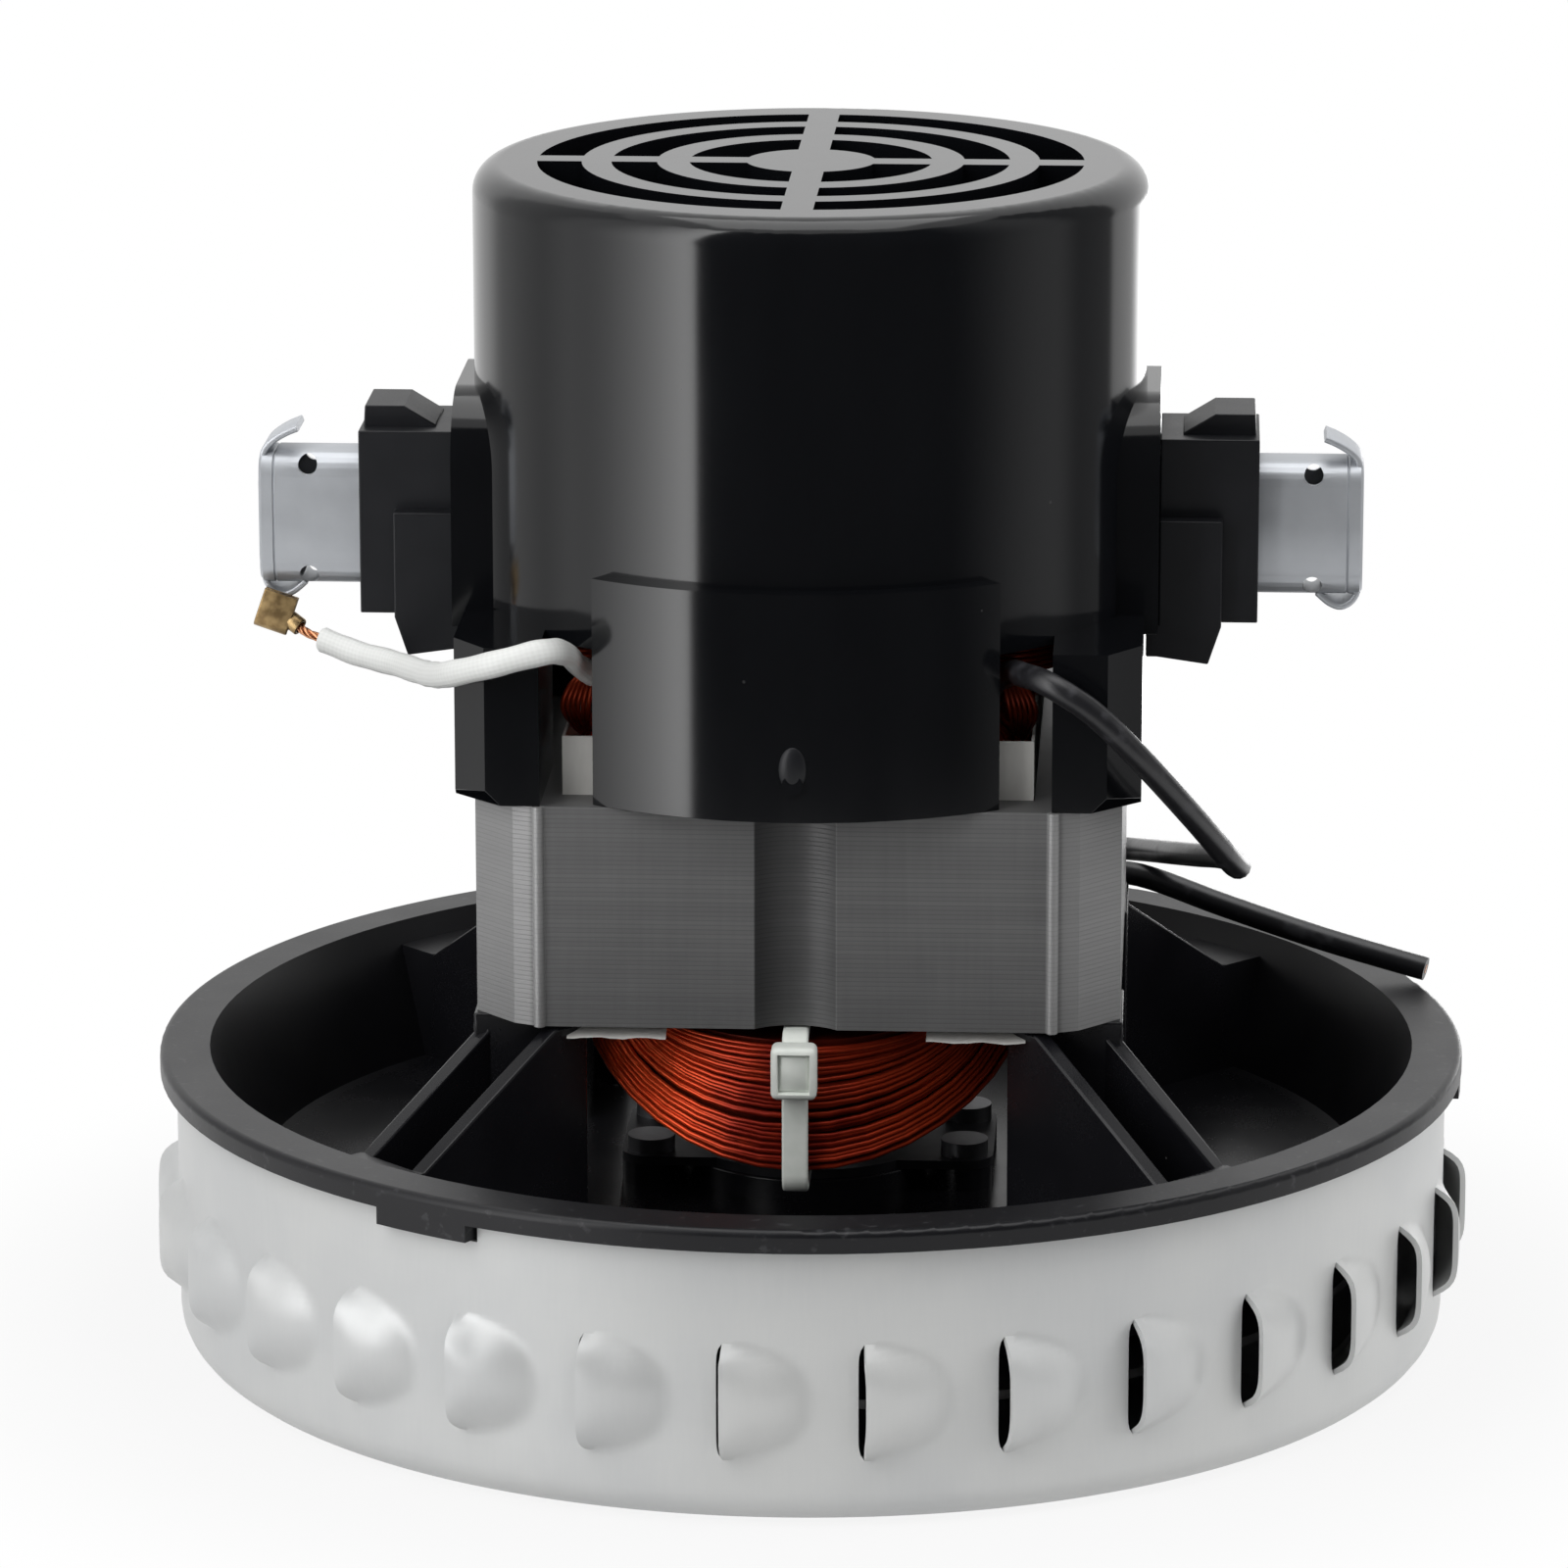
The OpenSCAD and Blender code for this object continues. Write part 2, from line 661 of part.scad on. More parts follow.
// The retaining plate over the lower bearing and its four screws
module bearing_retainer() {
    color("#8f9498") translate([0, 0, floor_top + hub_rise]) difference() {
        linear_extrude(plate_t) difference() {
            union() {
                rounded_rect(2 * (plate_screw_x + 3.2), 2 * (plate_screw_y + 3.2), 3);
                circle(r = hub_r - 0.4);
            }
            circle(r = lip_r);
        }
        four_corners(plate_screw_x, plate_screw_y) translate([0, 0, -1]) cylinder(r = screw_r + seat, h = 4);
    }
}

module retainer_screws() {
    color("#d5d8da") four_corners(plate_screw_x, plate_screw_y) {
        translate([0, 0, floor_under + 1.2])
            cylinder(r = screw_r, h = bowl_t + hub_rise + plate_t - 1.2);
        translate([0, 0, floor_top + hub_rise + plate_t]) cylinder(r = screw_head_r, h = screw_head_h);
    }
}

// Stator
module stack_outline() {
    x = stack_w / 2;
    y = stack_d / 2;
    fx = front_flat / 2;
    sy = side_flat / 2;
    polygon([
        [-fx, -y], [fx, -y], [fx + bevel_w, -y + bevel_d], [x, -sy], [x, sy], [fx + bevel_w, y - bevel_d],
        [fx, y], [-fx, y], [-fx - bevel_w, y - bevel_d], [-x, sy], [-x, -sy], [-fx - bevel_w, -y + bevel_d]
    ]);
}

module front_groove() {
    groove_r = (pow(groove_w / 2, 2) + pow(groove_d, 2)) / (2 * groove_d);
    translate([0, -stack_d / 2 + groove_d - groove_r]) circle(r = groove_r);
}

module coil_slots() {
    difference() {
        square([slot_w, slot_d], center = true);
        square([pole_w, slot_d + 2], center = true);
        circle(r = stator_bore / 2 + shoe_t);
    }
    square([slot_w, pole_gap], center = true);
    circle(d = stator_bore);
}

module stator_core() {
    weld_r = 0.6;
    color("#6d6e70") difference() {
        translate([0, 0, stack_z]) linear_extrude(stack_h) difference() {
            union() {
                stack_outline();
                four_corners(front_flat / 2, stack_d / 2) circle(r = weld_r);
            }
            both_sides() front_groove();
            coil_slots();
        }
        four_corners(bolt_x, bolt_y)
            translate([0, 0, stack_z - 1]) cylinder(r = bolt_d / 2 + run, h = stack_h + 2);
    }
}

// Paper liners on the outer walls of the four slots
module slot_paper() {
    x = slot_w / 2 - seat;
    y = slot_d / 2 - seat;
    low_rise = 1;
    corner_w = 5;
    translate([0, 0, stack_z - paper_drop]) {
        linear_extrude(stack_h + paper_drop + low_rise)
            translate([pole_w / 2 + 0.4, -y]) square([x - pole_w / 2 - 0.4, paper_t]);
        linear_extrude(stack_h + paper_drop + paper_rise) {
            translate([x - corner_w, -y]) square([corner_w, paper_t]);
            translate([x - paper_t, -y]) square([paper_t, y - paper_end]);
        }
    }
}

module slot_papers() {
    color("#e8e6e2") both_sides() {
        slot_paper();
        mirror([1, 0, 0]) slot_paper();
    }
}

module front_field_coil() {
    color("#b5301f") field_coil();
}

module rear_field_coil() {
    color("#b5301f") rotate([0, 0, 180]) field_coil();
}

// A tie round the middle of a lower end turn, with its head at the front
module cable_tie() {
    loop_front = coil_bulge + wire_r + run;
    loop_back = coil_back - 1.2;
    loop_low = coil_low - coil_reach - wire_r - run;
    loop_high = stack_z - run - tie_t;
    mid_y = -(loop_front + loop_back) / 2;
    mid_z = (loop_low + loop_high) / 2;
    translate([0, mid_y, mid_z]) along_x(-tie_w / 2, tie_w) difference() {
        rounded_rect(loop_front - loop_back + 2 * tie_t, loop_high - loop_low + 2 * tie_t, 1.6);
        rounded_rect(loop_front - loop_back, loop_high - loop_low, 1);
    }
    translate([-tie_head_w / 2, -loop_front - tie_t - 3, loop_high + tie_t - tie_head_h - 0.6])
        cube([tie_head_w, 3.2, tie_head_h]);
}

module front_cable_tie() {
    color("#dfe3dc") cable_tie();
}

module rear_cable_tie() {
    color("#dfe3dc") rotate([0, 0, 180]) cable_tie();
}

module through_bolts() {
    color("#b9bcbf") four_corners(bolt_x, bolt_y) {
        translate([0, 0, floor_under + 0.4 - seat]) cylinder(r = bolt_head_r, h = bolt_head_h - 0.1);
        translate([0, 0, floor_under + bolt_head_h])
            cylinder(r = bolt_d / 2, h = stack_top + bolt_grip - floor_under - bolt_head_h);
    }
}

// Cover
module cover_section() {
    difference() {
        union() {
            translate([0, drum_z]) square([cover_r, cover_top - drum_z - cover_round]);
            translate([0, drum_z]) square([cover_r - cover_round, cover_top - drum_z]);
            translate([cover_r - cover_round, cover_top - cover_round]) circle(r = cover_round);
        }
        translate([-1, drum_z - 1]) square([cover_ri + 1, cover_top - drum_z + 1 - grille_t]);
        translate([-10, 0]) square([10, cover_top + 1]);
    }
}

module grille_slots() {
    for (s = slot_radii) difference() {
        ring(s[0], s[1], cover_top - grille_t - 1, grille_t + 2);
        for (a = [0, 90]) rotate([0, 0, a])
            translate([-cover_r, -spoke_w / 2, 0]) cube([cover_d, spoke_w, cover_top + 4]);
    }
}

module leg_outline() {
    x = leg_span / 2;
    y = stack_d / 2;
    b = leg_bevel;
    polygon([
        [leg_gap / 2, -y], [x - b, -y], [x, -y + b * 1.3], [x, y - b * 1.3], [x - b, y], [leg_gap / 2, y]
    ]);
}

// Two legs and the wall between them on one side of the cover
module side_frame() {
    lead_in = 4;
    difference() {
        translate([0, 0, stack_top]) linear_extrude(leg_h) difference() {
            leg_outline();
            translate([0, -stack_d / 2 + leg_len]) square([leg_span / 2 - side_wall, stack_d - 2 * leg_len]);
        }
        for (sy = [-1, 1]) translate([stack_w / 2 - 1.4, sy * (side_flat / 2 + 2), stack_top])
            rotate([0, 0, sy * 45]) rotate([0, 35, 0])
                translate([1.2, -12, -8]) cube([lead_in * 2, 24, 8 + lead_in]);
    }
}

module boss_section() {
    crown = 8;
    translate([-boss_w / 2, 0]) square([boss_w, boss_h - crown]);
    translate([-boss_w / 2 + crown, 0]) square([boss_w - 2 * crown, boss_h]);
    for (s = [-1, 1]) translate([s * (boss_w / 2 - crown), boss_h - crown]) circle(r = crown);
}

module brush_boss() {
    difference() {
        translate([0, 0, boss_z]) along_x(cover_ri - 8, boss_out - cover_ri + 8) boss_section();
        translate([0, 0, boss_z - 1]) cylinder(r = cover_r - cover_wall / 2, h = boss_h + 2);
    }
}

module cover_panel() {
    rotate([0, 0, -90 - panel_half]) translate([0, 0, stack_top])
        rotate_extrude(angle = 2 * panel_half) translate([panel_r - panel_t, 0]) square([panel_t, panel_h]);
    translate([0, -panel_r + 1, stack_top + 4.2]) rotate([90, 0, 0]) cylinder(r = 1.1, h = 1.4);
}

module bearing_spider() {
    ring(bearing_d / 2 - 2, cup_r, top_bearing_z, cup_top - top_bearing_z);
    for (a = [45 : 90 : 315]) rotate([0, 0, a])
        translate([cup_r - 1, -arm_w / 2, top_bearing_z])
            cube([cover_ri - cup_r + 2, arm_w, cup_top - top_bearing_z]);
}

module motor_cover() {
    color("#101114") difference() {
        union() {
            rotate_extrude() cover_section();
            both_sides() {
                side_frame();
                brush_boss();
                cover_panel();
            }
            bearing_spider();
        }
        grille_slots();
        translate([0, 0, top_bearing_z - 1])
            cylinder(r = bearing_d / 2 + seat, h = cup_ceiling - top_bearing_z + 1);
        both_sides() translate([0, 0, brush_z])
            along_x(cover_ri - 8, 20) square([shank_w + 2 * seat, shank_h + 2 * seat], center = true);
        four_corners(bolt_x, bolt_y)
            translate([0, 0, stack_top - 1]) cylinder(r = bolt_d / 2 + seat, h = bolt_grip + 1.5);
    }
}

// Brush gear, drawn on the +X side
module brush_housing() {
    x0 = boss_out + 0.05;
    x1 = housing_out - collar_t;
    x2 = housing_out;
    wall_x = leg_span / 2 + 0.15;
    boss_foot = boss_z - brush_z - 0.2;
    translate([0, 0, brush_z]) difference() {
        union() {
            across_y(housing_w) polygon([
                [x0, block_step], [x1, block_step], [x1, -collar_foot], [x2, -collar_foot], [x2, block_top],
                [x0, block_top]
            ]);
            across_y(housing_w - 5) polygon([
                [x0 + 2.4, block_top - 1], [x2 - 0.3, block_top - 1], [x2 - 0.5, ridge_top],
                [x1 - 0.9, ridge_top], [x0 + 2.4, block_top + 0.2]
            ]);
            across_y(foot_w) polygon([
                [x0, block_step], [x1, block_step], [x1, -collar_foot], [x1 - 1.4, -block_foot],
                [wall_x + 1.2, -block_foot + 0.8], [wall_x, -block_foot + 0.8], [wall_x, boss_foot],
                [x0, boss_foot]
            ]);
            along_x(shank_in, x0 - shank_in + 1) square([shank_w, shank_h], center = true);
        }
        along_x(shank_in - 1, x2 - shank_in + 2)
            rounded_rect(tube_w + 2 * seat, tube_h + 2 * seat, tube_r + seat);
    }
}

module brush_tube() {
    hole_r = 1;
    hole_x = tube_out - 5.4;
    flap = 5;
    translate([0, 0, brush_z]) difference() {
        union() {
            along_x(tube_in, tube_out - tube_in) difference() {
                rounded_rect(tube_w, tube_h, tube_r);
                rounded_rect(tube_w - 2 * tube_t, tube_h - 2 * tube_t, tube_r - tube_t + 0.1);
            }
            along_x(tube_out - tube_t, tube_t) rounded_rect(tube_w, tube_h, tube_r);
            translate([tube_out - tube_t, -tube_w / 2 + tube_r, tube_h / 2 - tube_t])
                rotate([0, -50, 0]) cube([tube_t, tube_w - 2 * tube_r, flap]);
            translate([tube_out - 4, -tube_w / 2, -tube_h / 2 - 1.8]) cube([3.4, tube_t, 4]);
        }
        for (s = [-1, 1]) translate([hole_x, 0, s * (tube_h / 2 - 1.9)])
            rotate([90, 0, 0]) cylinder(r = hole_r, h = tube_w + 2, center = true);
    }
}

module brush_spring() {
    x0 = brush_back + 0.2 + spring_wire_d / 2;
    x1 = tube_out - tube_t - 0.2 - spring_wire_d / 2;
    steps = spring_turns * 8;
    tube_along([
        for (i = [0 : steps])
            [lerp(x0, x1, i / steps), spring_r * cos(45 * i), brush_z + spring_r * sin(45 * i)]
    ], spring_wire_d / 2, 6, [1, 0, 0]);
}

module carbon_brush() {
    difference() {
        translate([brush_face - 3, -brush_hw, brush_z - brush_hh])
            cube([brush_len + 3, 2 * brush_hw, 2 * brush_hh]);
        translate([0, 0, brush_z - brush_hh - 1]) cylinder(r = brush_face, h = 2 * brush_hh + 2);
    }
}

module left_side() {
    rotate([0, 0, 180]) children();
}

module left_brush_housing() {
    color("#15161a") left_side() brush_housing();
}

module right_brush_housing() {
    color("#15161a") brush_housing();
}

module left_brush_tube() {
    color("#b4bcc2") mirror([1, 0, 0]) brush_tube();
}

module right_brush_tube() {
    color("#b4bcc2") brush_tube();
}

module left_brush_spring() {
    color("#9aa0a4") left_side() brush_spring();
}

module right_brush_spring() {
    color("#9aa0a4") brush_spring();
}

module left_carbon_brush() {
    color("#2b2b2d") left_side() carbon_brush();
}

module right_carbon_brush() {
    color("#2b2b2d") carbon_brush();
}

// Folded clip on the left tube's tab, with the wire stub that runs into the white sleeve
module left_terminal_clip() {
    clip_w = 3.8;
    clip_d = 2.7;
    clip_h = 5.2;
    clip_turn = 19;
    tab_x = tube_out - 2.3;
    tab_low = brush_z - tube_h / 2 - 1.8;
    stub = [-(tab_x - 0.4), -tube_w / 2 - 0.6, tab_low - 1.6];
    reach = sleeve_route[0] - stub;
    color("#b08d3e") {
        difference() {
            translate([-tab_x, -tube_w / 2 + tube_t / 2, tab_low + 0.6]) rotate([0, clip_turn, 0])
                translate([-clip_w / 2, -clip_d / 2, -clip_h + 1]) cube([clip_w, clip_d, clip_h]);
            translate([-tube_out, -tube_w / 2 - 0.15, tab_low - 0.3]) cube([8, tube_t + 0.3, 8]);
            translate([-tube_out - 2, -tube_w / 2 - 3, brush_z - tube_h / 2 - seat]) cube([10, 8, 6]);
        }
        translate(stub) rotate([0, acos(reach[2] / norm(reach)), atan2(reach[1], reach[0])])
            cylinder(r = 0.55, h = norm(reach) - run);
    }
}

module brush_lead_sleeve() {
    color("#eef0ee") tube_along(smooth_route(sleeve_route, 2), sleeve_d / 2, 8, [0, 0, 1]);
}

module supply_lead() {
    color("#111114") tube_along(smooth_route(lead_route, 2), lead_d / 2, 8, [0, 0, 1]);
}

// Ball bearings
ball_ring = (bearing_bore + bearing_d) / 4;
race_r = ball_d / 2 + 0.1;
race_wall = 1.4;

module bearing_outer(z) {
    translate([0, 0, z]) difference() {
        ring(bearing_d / 2 - race_wall - 0.9, bearing_d / 2, 0, bearing_w);
        translate([0, 0, bearing_w / 2]) rotate_extrude() translate([ball_ring, 0]) circle(r = race_r);
    }
}

module bearing_inner(z) {
    translate([0, 0, z]) difference() {
        ring(bearing_bore / 2 + press, bearing_bore / 2 + race_wall + 0.6, 0, bearing_w);
        translate([0, 0, bearing_w / 2]) rotate_extrude() translate([ball_ring, 0]) circle(r = race_r);
    }
}

module at_balls(z) {
    for (i = [0 : ball_count - 1]) rotate([0, 0, i * 360 / ball_count])
        translate([ball_ring, 0, z + bearing_w / 2]) children();
}

module bearing_balls(z) {
    at_balls(z) sphere(d = ball_d);
}

module bearing_cage(z) {
    cage_h = bearing_w - 1.4;
    difference() {
        ring(ball_ring - 0.5, ball_ring + 0.5, z + (bearing_w - cage_h) / 2, cage_h);
        at_balls(z) sphere(d = ball_d + 0.2);
    }
}

module lower_bearing_outer_ring() {
    color("#c9ccd0") bearing_outer(low_bearing_z);
}

module lower_bearing_inner_ring() {
    color("#c9ccd0") bearing_inner(low_bearing_z);
}

module lower_bearing_balls() {
    color("#e4e6e8") bearing_balls(low_bearing_z);
}

module lower_bearing_cage() {
    color("#8a7a50") bearing_cage(low_bearing_z);
}

module upper_bearing_outer_ring() {
    color("#c9ccd0") bearing_outer(top_bearing_z);
}

module upper_bearing_inner_ring() {
    color("#c9ccd0") bearing_inner(top_bearing_z);
}

module upper_bearing_balls() {
    color("#e4e6e8") bearing_balls(top_bearing_z);
}

module upper_bearing_cage() {
    color("#8a7a50") bearing_cage(top_bearing_z);
}

// Dished spring washer that loads the upper bearing
module wave_washer() {
    thick = 0.4;
    color("#9aa0a4") translate([0, 0, top_bearing_z + bearing_w]) rotate_extrude() polygon([
        [lip_r + 0.3, wave_h - thick], [lip_r + 0.3, wave_h], [bearing_d / 2 - 0.1, thick],
        [bearing_d / 2 - 0.1, 0]
    ]);
}

// Rotor
module shaft() {
    shoulder_low = floor_top + hub_rise + plate_t + 1;
    shoulder_high = top_bearing_z;
    color("#c4c7ca") {
        translate([0, 0, shaft_end]) cylinder(r = shaft_r, h = shaft_top - shaft_end);
        translate([0, 0, low_bearing_z + bearing_w])
            cylinder(r = journal_r, h = shoulder_high - low_bearing_z - bearing_w);
        translate([0, 0, shoulder_low])
            cylinder(r = journal_r + 0.6, h = stack_z - shoulder_low - end_turn_h / 4);
    }
}

module armature_core() {
    color("#77787a") translate([0, 0, stack_z]) linear_extrude(stack_h) difference() {
        circle(r = armature_r);
        circle(r = journal_r + press);
        for (i = [0 : armature_slots - 1]) rotate(i * 360 / armature_slots) {
            translate([slot_ring, 0]) circle(r = slot_round);
            translate([slot_ring, -slot_mouth / 2]) square([armature_r, slot_mouth]);
        }
    }
}

module armature_winding() {
    turn_in = journal_r + 1;
    turn_out = armature_r - 1.4;
    turn_r = 2.4;
    turn_w = turn_out - turn_in;
    color("#a5452c") {
        for (z = [stack_z - 0.6 - end_turn_h, stack_top + 0.6])
            rotate_extrude() translate([turn_in + turn_w / 2, z + end_turn_h / 2])
                rounded_rect(turn_w, end_turn_h, turn_r);
        for (i = [0 : armature_slots - 1]) rotate([0, 0, i * 360 / armature_slots])
            translate([slot_ring, 0, stack_z - 3]) cylinder(r = slot_round - run, h = stack_h + 6);
    }
}

module commutator_hub() {
    winding_top = stack_top + 0.6 + end_turn_h;
    color("#4a2f22") {
        ring(journal_r + press, commutator_r - bar_depth, commutator_z - riser_h, commutator_len + riser_h);
        ring(journal_r + press, journal_r + 2, winding_top, commutator_z - riser_h - winding_top + 0.5);
    }
}

module commutator_segments() {
    color("#b8703f") difference() {
        union() {
            ring(commutator_r - bar_depth, commutator_r, commutator_z, commutator_len);
            ring(commutator_r - bar_depth, commutator_r + 1.2, commutator_z - riser_h, riser_h + 0.2);
        }
        for (i = [0 : commutator_bars - 1]) rotate([0, 0, (i + 0.5) * 360 / commutator_bars])
            translate([0, -bar_gap / 2, commutator_z - riser_h - 1])
                cube([commutator_r + 4, bar_gap, commutator_len + 4]);
    }
}

module cooling_fan() {
    pitch = 38;
    blade = 1.4;
    blade_len = cooler_d / 2 - cooler_hub_r + 1;
    color("#1d1f22") difference() {
        union() {
            translate([0, 0, cooler_z]) cylinder(r = cooler_hub_r, h = cooler_h);
            intersection() {
                for (i = [0 : cooler_blades - 1]) rotate([0, 0, i * 360 / cooler_blades])
                    translate([cooler_hub_r - 1.2, 0, cooler_z + cooler_h / 2]) rotate([pitch, 0, 0])
                        translate([0, -blade / 2, -cooler_h]) cube([blade_len, blade, 2 * cooler_h]);
                translate([0, 0, cooler_z]) cylinder(d = cooler_d, h = cooler_h);
            }
        }
        translate([0, 0, cooler_z - 1]) cylinder(r = shaft_r + press, h = cooler_h + 2);
    }
}

module impeller_back_plate() {
    color("#a9adb0") ring(shaft_r + press, impeller_r, back_z, impeller_t);
}

// A backward curved blade is an arc through its inner and outer ends
module impeller_blades() {
    p = [blade_in, 0];
    q = blade_out * [cos(blade_sweep), sin(blade_sweep)];
    half = norm(q - p) / 2;
    across = [-(q - p)[1], (q - p)[0]] / (2 * half);
    mid = (p + q) / 2 - across * sqrt(blade_curve * blade_curve - half * half);
    from = atan2((q - mid)[1], (q - mid)[0]);
    span = 2 * asin(half / blade_curve);
    color("#a9adb0") for (i = [0 : blade_count - 1]) rotate([0, 0, i * 360 / blade_count])
        translate([mid[0], mid[1], front_z + impeller_t]) rotate([0, 0, from])
            rotate_extrude(angle = span) translate([blade_curve - impeller_t / 2, 0])
                square([impeller_t, blade_h]);
}

module impeller_front_plate() {
    color("#a9adb0") ring(eye_d / 2 + can_t + 0.9, impeller_r, front_z, impeller_t);
}

module impeller_spacer() {
    color("#8f9498")
        ring(shaft_r + press, spacer_r, back_z + impeller_t, low_bearing_z - back_z - impeller_t);
}

module impeller_washer() {
    color("#8f9498") ring(shaft_r + press, washer_r, back_z - washer_t, washer_t);
}

module impeller_nut() {
    color("#c9ccd0") translate([0, 0, back_z - washer_t - nut_h]) difference() {
        cylinder(d = nut_flats / cos(30), h = nut_h, $fn = 6);
        translate([0, 0, -1]) cylinder(r = shaft_r + press, h = nut_h + 2);
    }
}

fan_can();
fan_bracket();
bearing_retainer();
retainer_screws();
stator_core();
slot_papers();
front_field_coil();
rear_field_coil();
front_cable_tie();
rear_cable_tie();
through_bolts();
motor_cover();
left_brush_housing();
right_brush_housing();
left_brush_tube();
right_brush_tube();
left_brush_spring();
right_brush_spring();
left_carbon_brush();
right_carbon_brush();
left_terminal_clip();
brush_lead_sleeve();
supply_lead();
lower_bearing_outer_ring();
lower_bearing_inner_ring();
lower_bearing_balls();
lower_bearing_cage();
upper_bearing_outer_ring();
upper_bearing_inner_ring();
upper_bearing_balls();
upper_bearing_cage();
wave_washer();
shaft();
armature_core();
armature_winding();
commutator_hub();
commutator_segments();
cooling_fan();
impeller_back_plate();
impeller_blades();
impeller_front_plate();
impeller_spacer();
impeller_washer();
impeller_nut();
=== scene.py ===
import math
import random

import bmesh
import bpy
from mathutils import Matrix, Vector


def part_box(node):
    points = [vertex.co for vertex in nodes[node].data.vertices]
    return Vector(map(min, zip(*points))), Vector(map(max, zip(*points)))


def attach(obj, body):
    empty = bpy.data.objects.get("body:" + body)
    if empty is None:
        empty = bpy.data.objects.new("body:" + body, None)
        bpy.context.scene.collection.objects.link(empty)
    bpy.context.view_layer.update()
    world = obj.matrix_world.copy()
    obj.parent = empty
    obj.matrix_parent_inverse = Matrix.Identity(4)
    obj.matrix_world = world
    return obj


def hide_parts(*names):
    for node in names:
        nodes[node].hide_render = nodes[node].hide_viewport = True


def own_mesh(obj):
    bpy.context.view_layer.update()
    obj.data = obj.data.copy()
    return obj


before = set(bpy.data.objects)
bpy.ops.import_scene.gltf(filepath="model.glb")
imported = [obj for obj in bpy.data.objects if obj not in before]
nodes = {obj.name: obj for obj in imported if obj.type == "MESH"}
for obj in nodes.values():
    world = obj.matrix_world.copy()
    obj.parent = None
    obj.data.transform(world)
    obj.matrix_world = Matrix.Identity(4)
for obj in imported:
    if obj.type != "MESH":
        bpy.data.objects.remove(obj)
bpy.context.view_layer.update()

MM = 0.001


def put_in_scene(name, data):
    thing = bpy.data.objects.new(name, data)
    bpy.context.scene.collection.objects.link(thing)
    return thing


# Camera, at the photograph's viewing angle

CAMERA_SWING = 2.9
CAMERA_TILT = 14.59
CAMERA_REACH = 0.82634
CAMERA_HEIGHT = 0.27616
CAMERA_LENS = 178.2
SENSOR_WIDE = 36
FRAME_SHIFT = -0.0172


def facing(swing, reach, height):
    """A point round the part: swing is in degrees to the right of the camera's direction."""
    turn = math.radians(CAMERA_SWING + swing)
    return Vector((reach * math.sin(turn), -reach * math.cos(turn), height))


def set_camera():
    data = bpy.data.cameras.new("photo_camera")
    data.lens = CAMERA_LENS
    data.sensor_width = SENSOR_WIDE
    data.shift_x = FRAME_SHIFT
    camera = put_in_scene("photo_camera", data)
    camera.location = facing(0, CAMERA_REACH, CAMERA_HEIGHT)
    camera.rotation_euler = (math.radians(90 - CAMERA_TILT), 0, math.radians(CAMERA_SWING))
    bpy.context.scene.camera = camera


# Shader graphs

MIX_FACTOR = 0
MIX_A = 6
MIX_B = 7
MIX_RESULT = 2


class Socket:
    """One value in a node tree. Python's operators on it add Math nodes."""

    def __init__(self, graph, plug):
        self.graph = graph
        self.plug = plug

    def math(self, operation, first, second=0.0):
        return self.graph.add("ShaderNodeMath", {"operation": operation}, {0: first, 1: second})

    def __add__(self, other):
        return self.math("ADD", self, other)

    def __radd__(self, other):
        return self.math("ADD", other, self)

    def __sub__(self, other):
        return self.math("SUBTRACT", self, other)

    def __rsub__(self, other):
        return self.math("SUBTRACT", other, self)

    def __mul__(self, other):
        return self.math("MULTIPLY", self, other)

    def __rmul__(self, other):
        return self.math("MULTIPLY", other, self)

    def __truediv__(self, other):
        return self.math("DIVIDE", self, other)

    def __pow__(self, other):
        return self.math("POWER", self, other)

    def floor(self):
        return self.math("FLOOR", self)

    def part(self):
        return self.math("FRACT", self)

    def wave(self):
        return self.math("SINE", self)

    def larger(self, other):
        return self.math("MAXIMUM", self, other)

    def between(self, low, high, smooth=True):
        """0 at low, 1 at high, held at both ends."""
        style = "SMOOTHSTEP" if smooth else "LINEAR"
        settings = {"clamp": True, "interpolation_type": style}
        return self.graph.add("ShaderNodeMapRange", settings, {0: self, 1: low, 2: high})


class Graph:
    """A node tree, with one way to add any node."""

    def __init__(self, tree):
        self.tree = tree

    def add(self, kind, settings=None, values=None, output=0):
        node = self.tree.nodes.new(kind)
        for key, value in (settings or {}).items():
            setattr(node, key, value)
        for key, value in (values or {}).items():
            self.join(node.inputs[key], value)
        return Socket(self, node.outputs[output])

    def join(self, socket, value):
        if isinstance(value, Socket):
            self.tree.links.new(value.plug, socket)
        else:
            socket.default_value = value

    def mix(self, mask, low, high):
        """Colour low where the mask is 0, high where it is 1."""
        values = {MIX_FACTOR: mask, MIX_A: as_colour(low), MIX_B: as_colour(high)}
        return self.add("ShaderNodeMix", {"data_type": "RGBA"}, values, MIX_RESULT)

    def seen_by(self):
        """1 for rays that show the background: to the camera, in a gloss or through glass."""
        path = self.add("ShaderNodeLightPath")
        rays = path.plug.node.outputs
        shown = path.larger(Socket(self, rays["Is Glossy Ray"]))
        return shown.larger(Socket(self, rays["Is Transmission Ray"]))


def as_colour(value):
    if isinstance(value, Socket) or len(value) == 4:
        return value
    return (*value, 1.0)


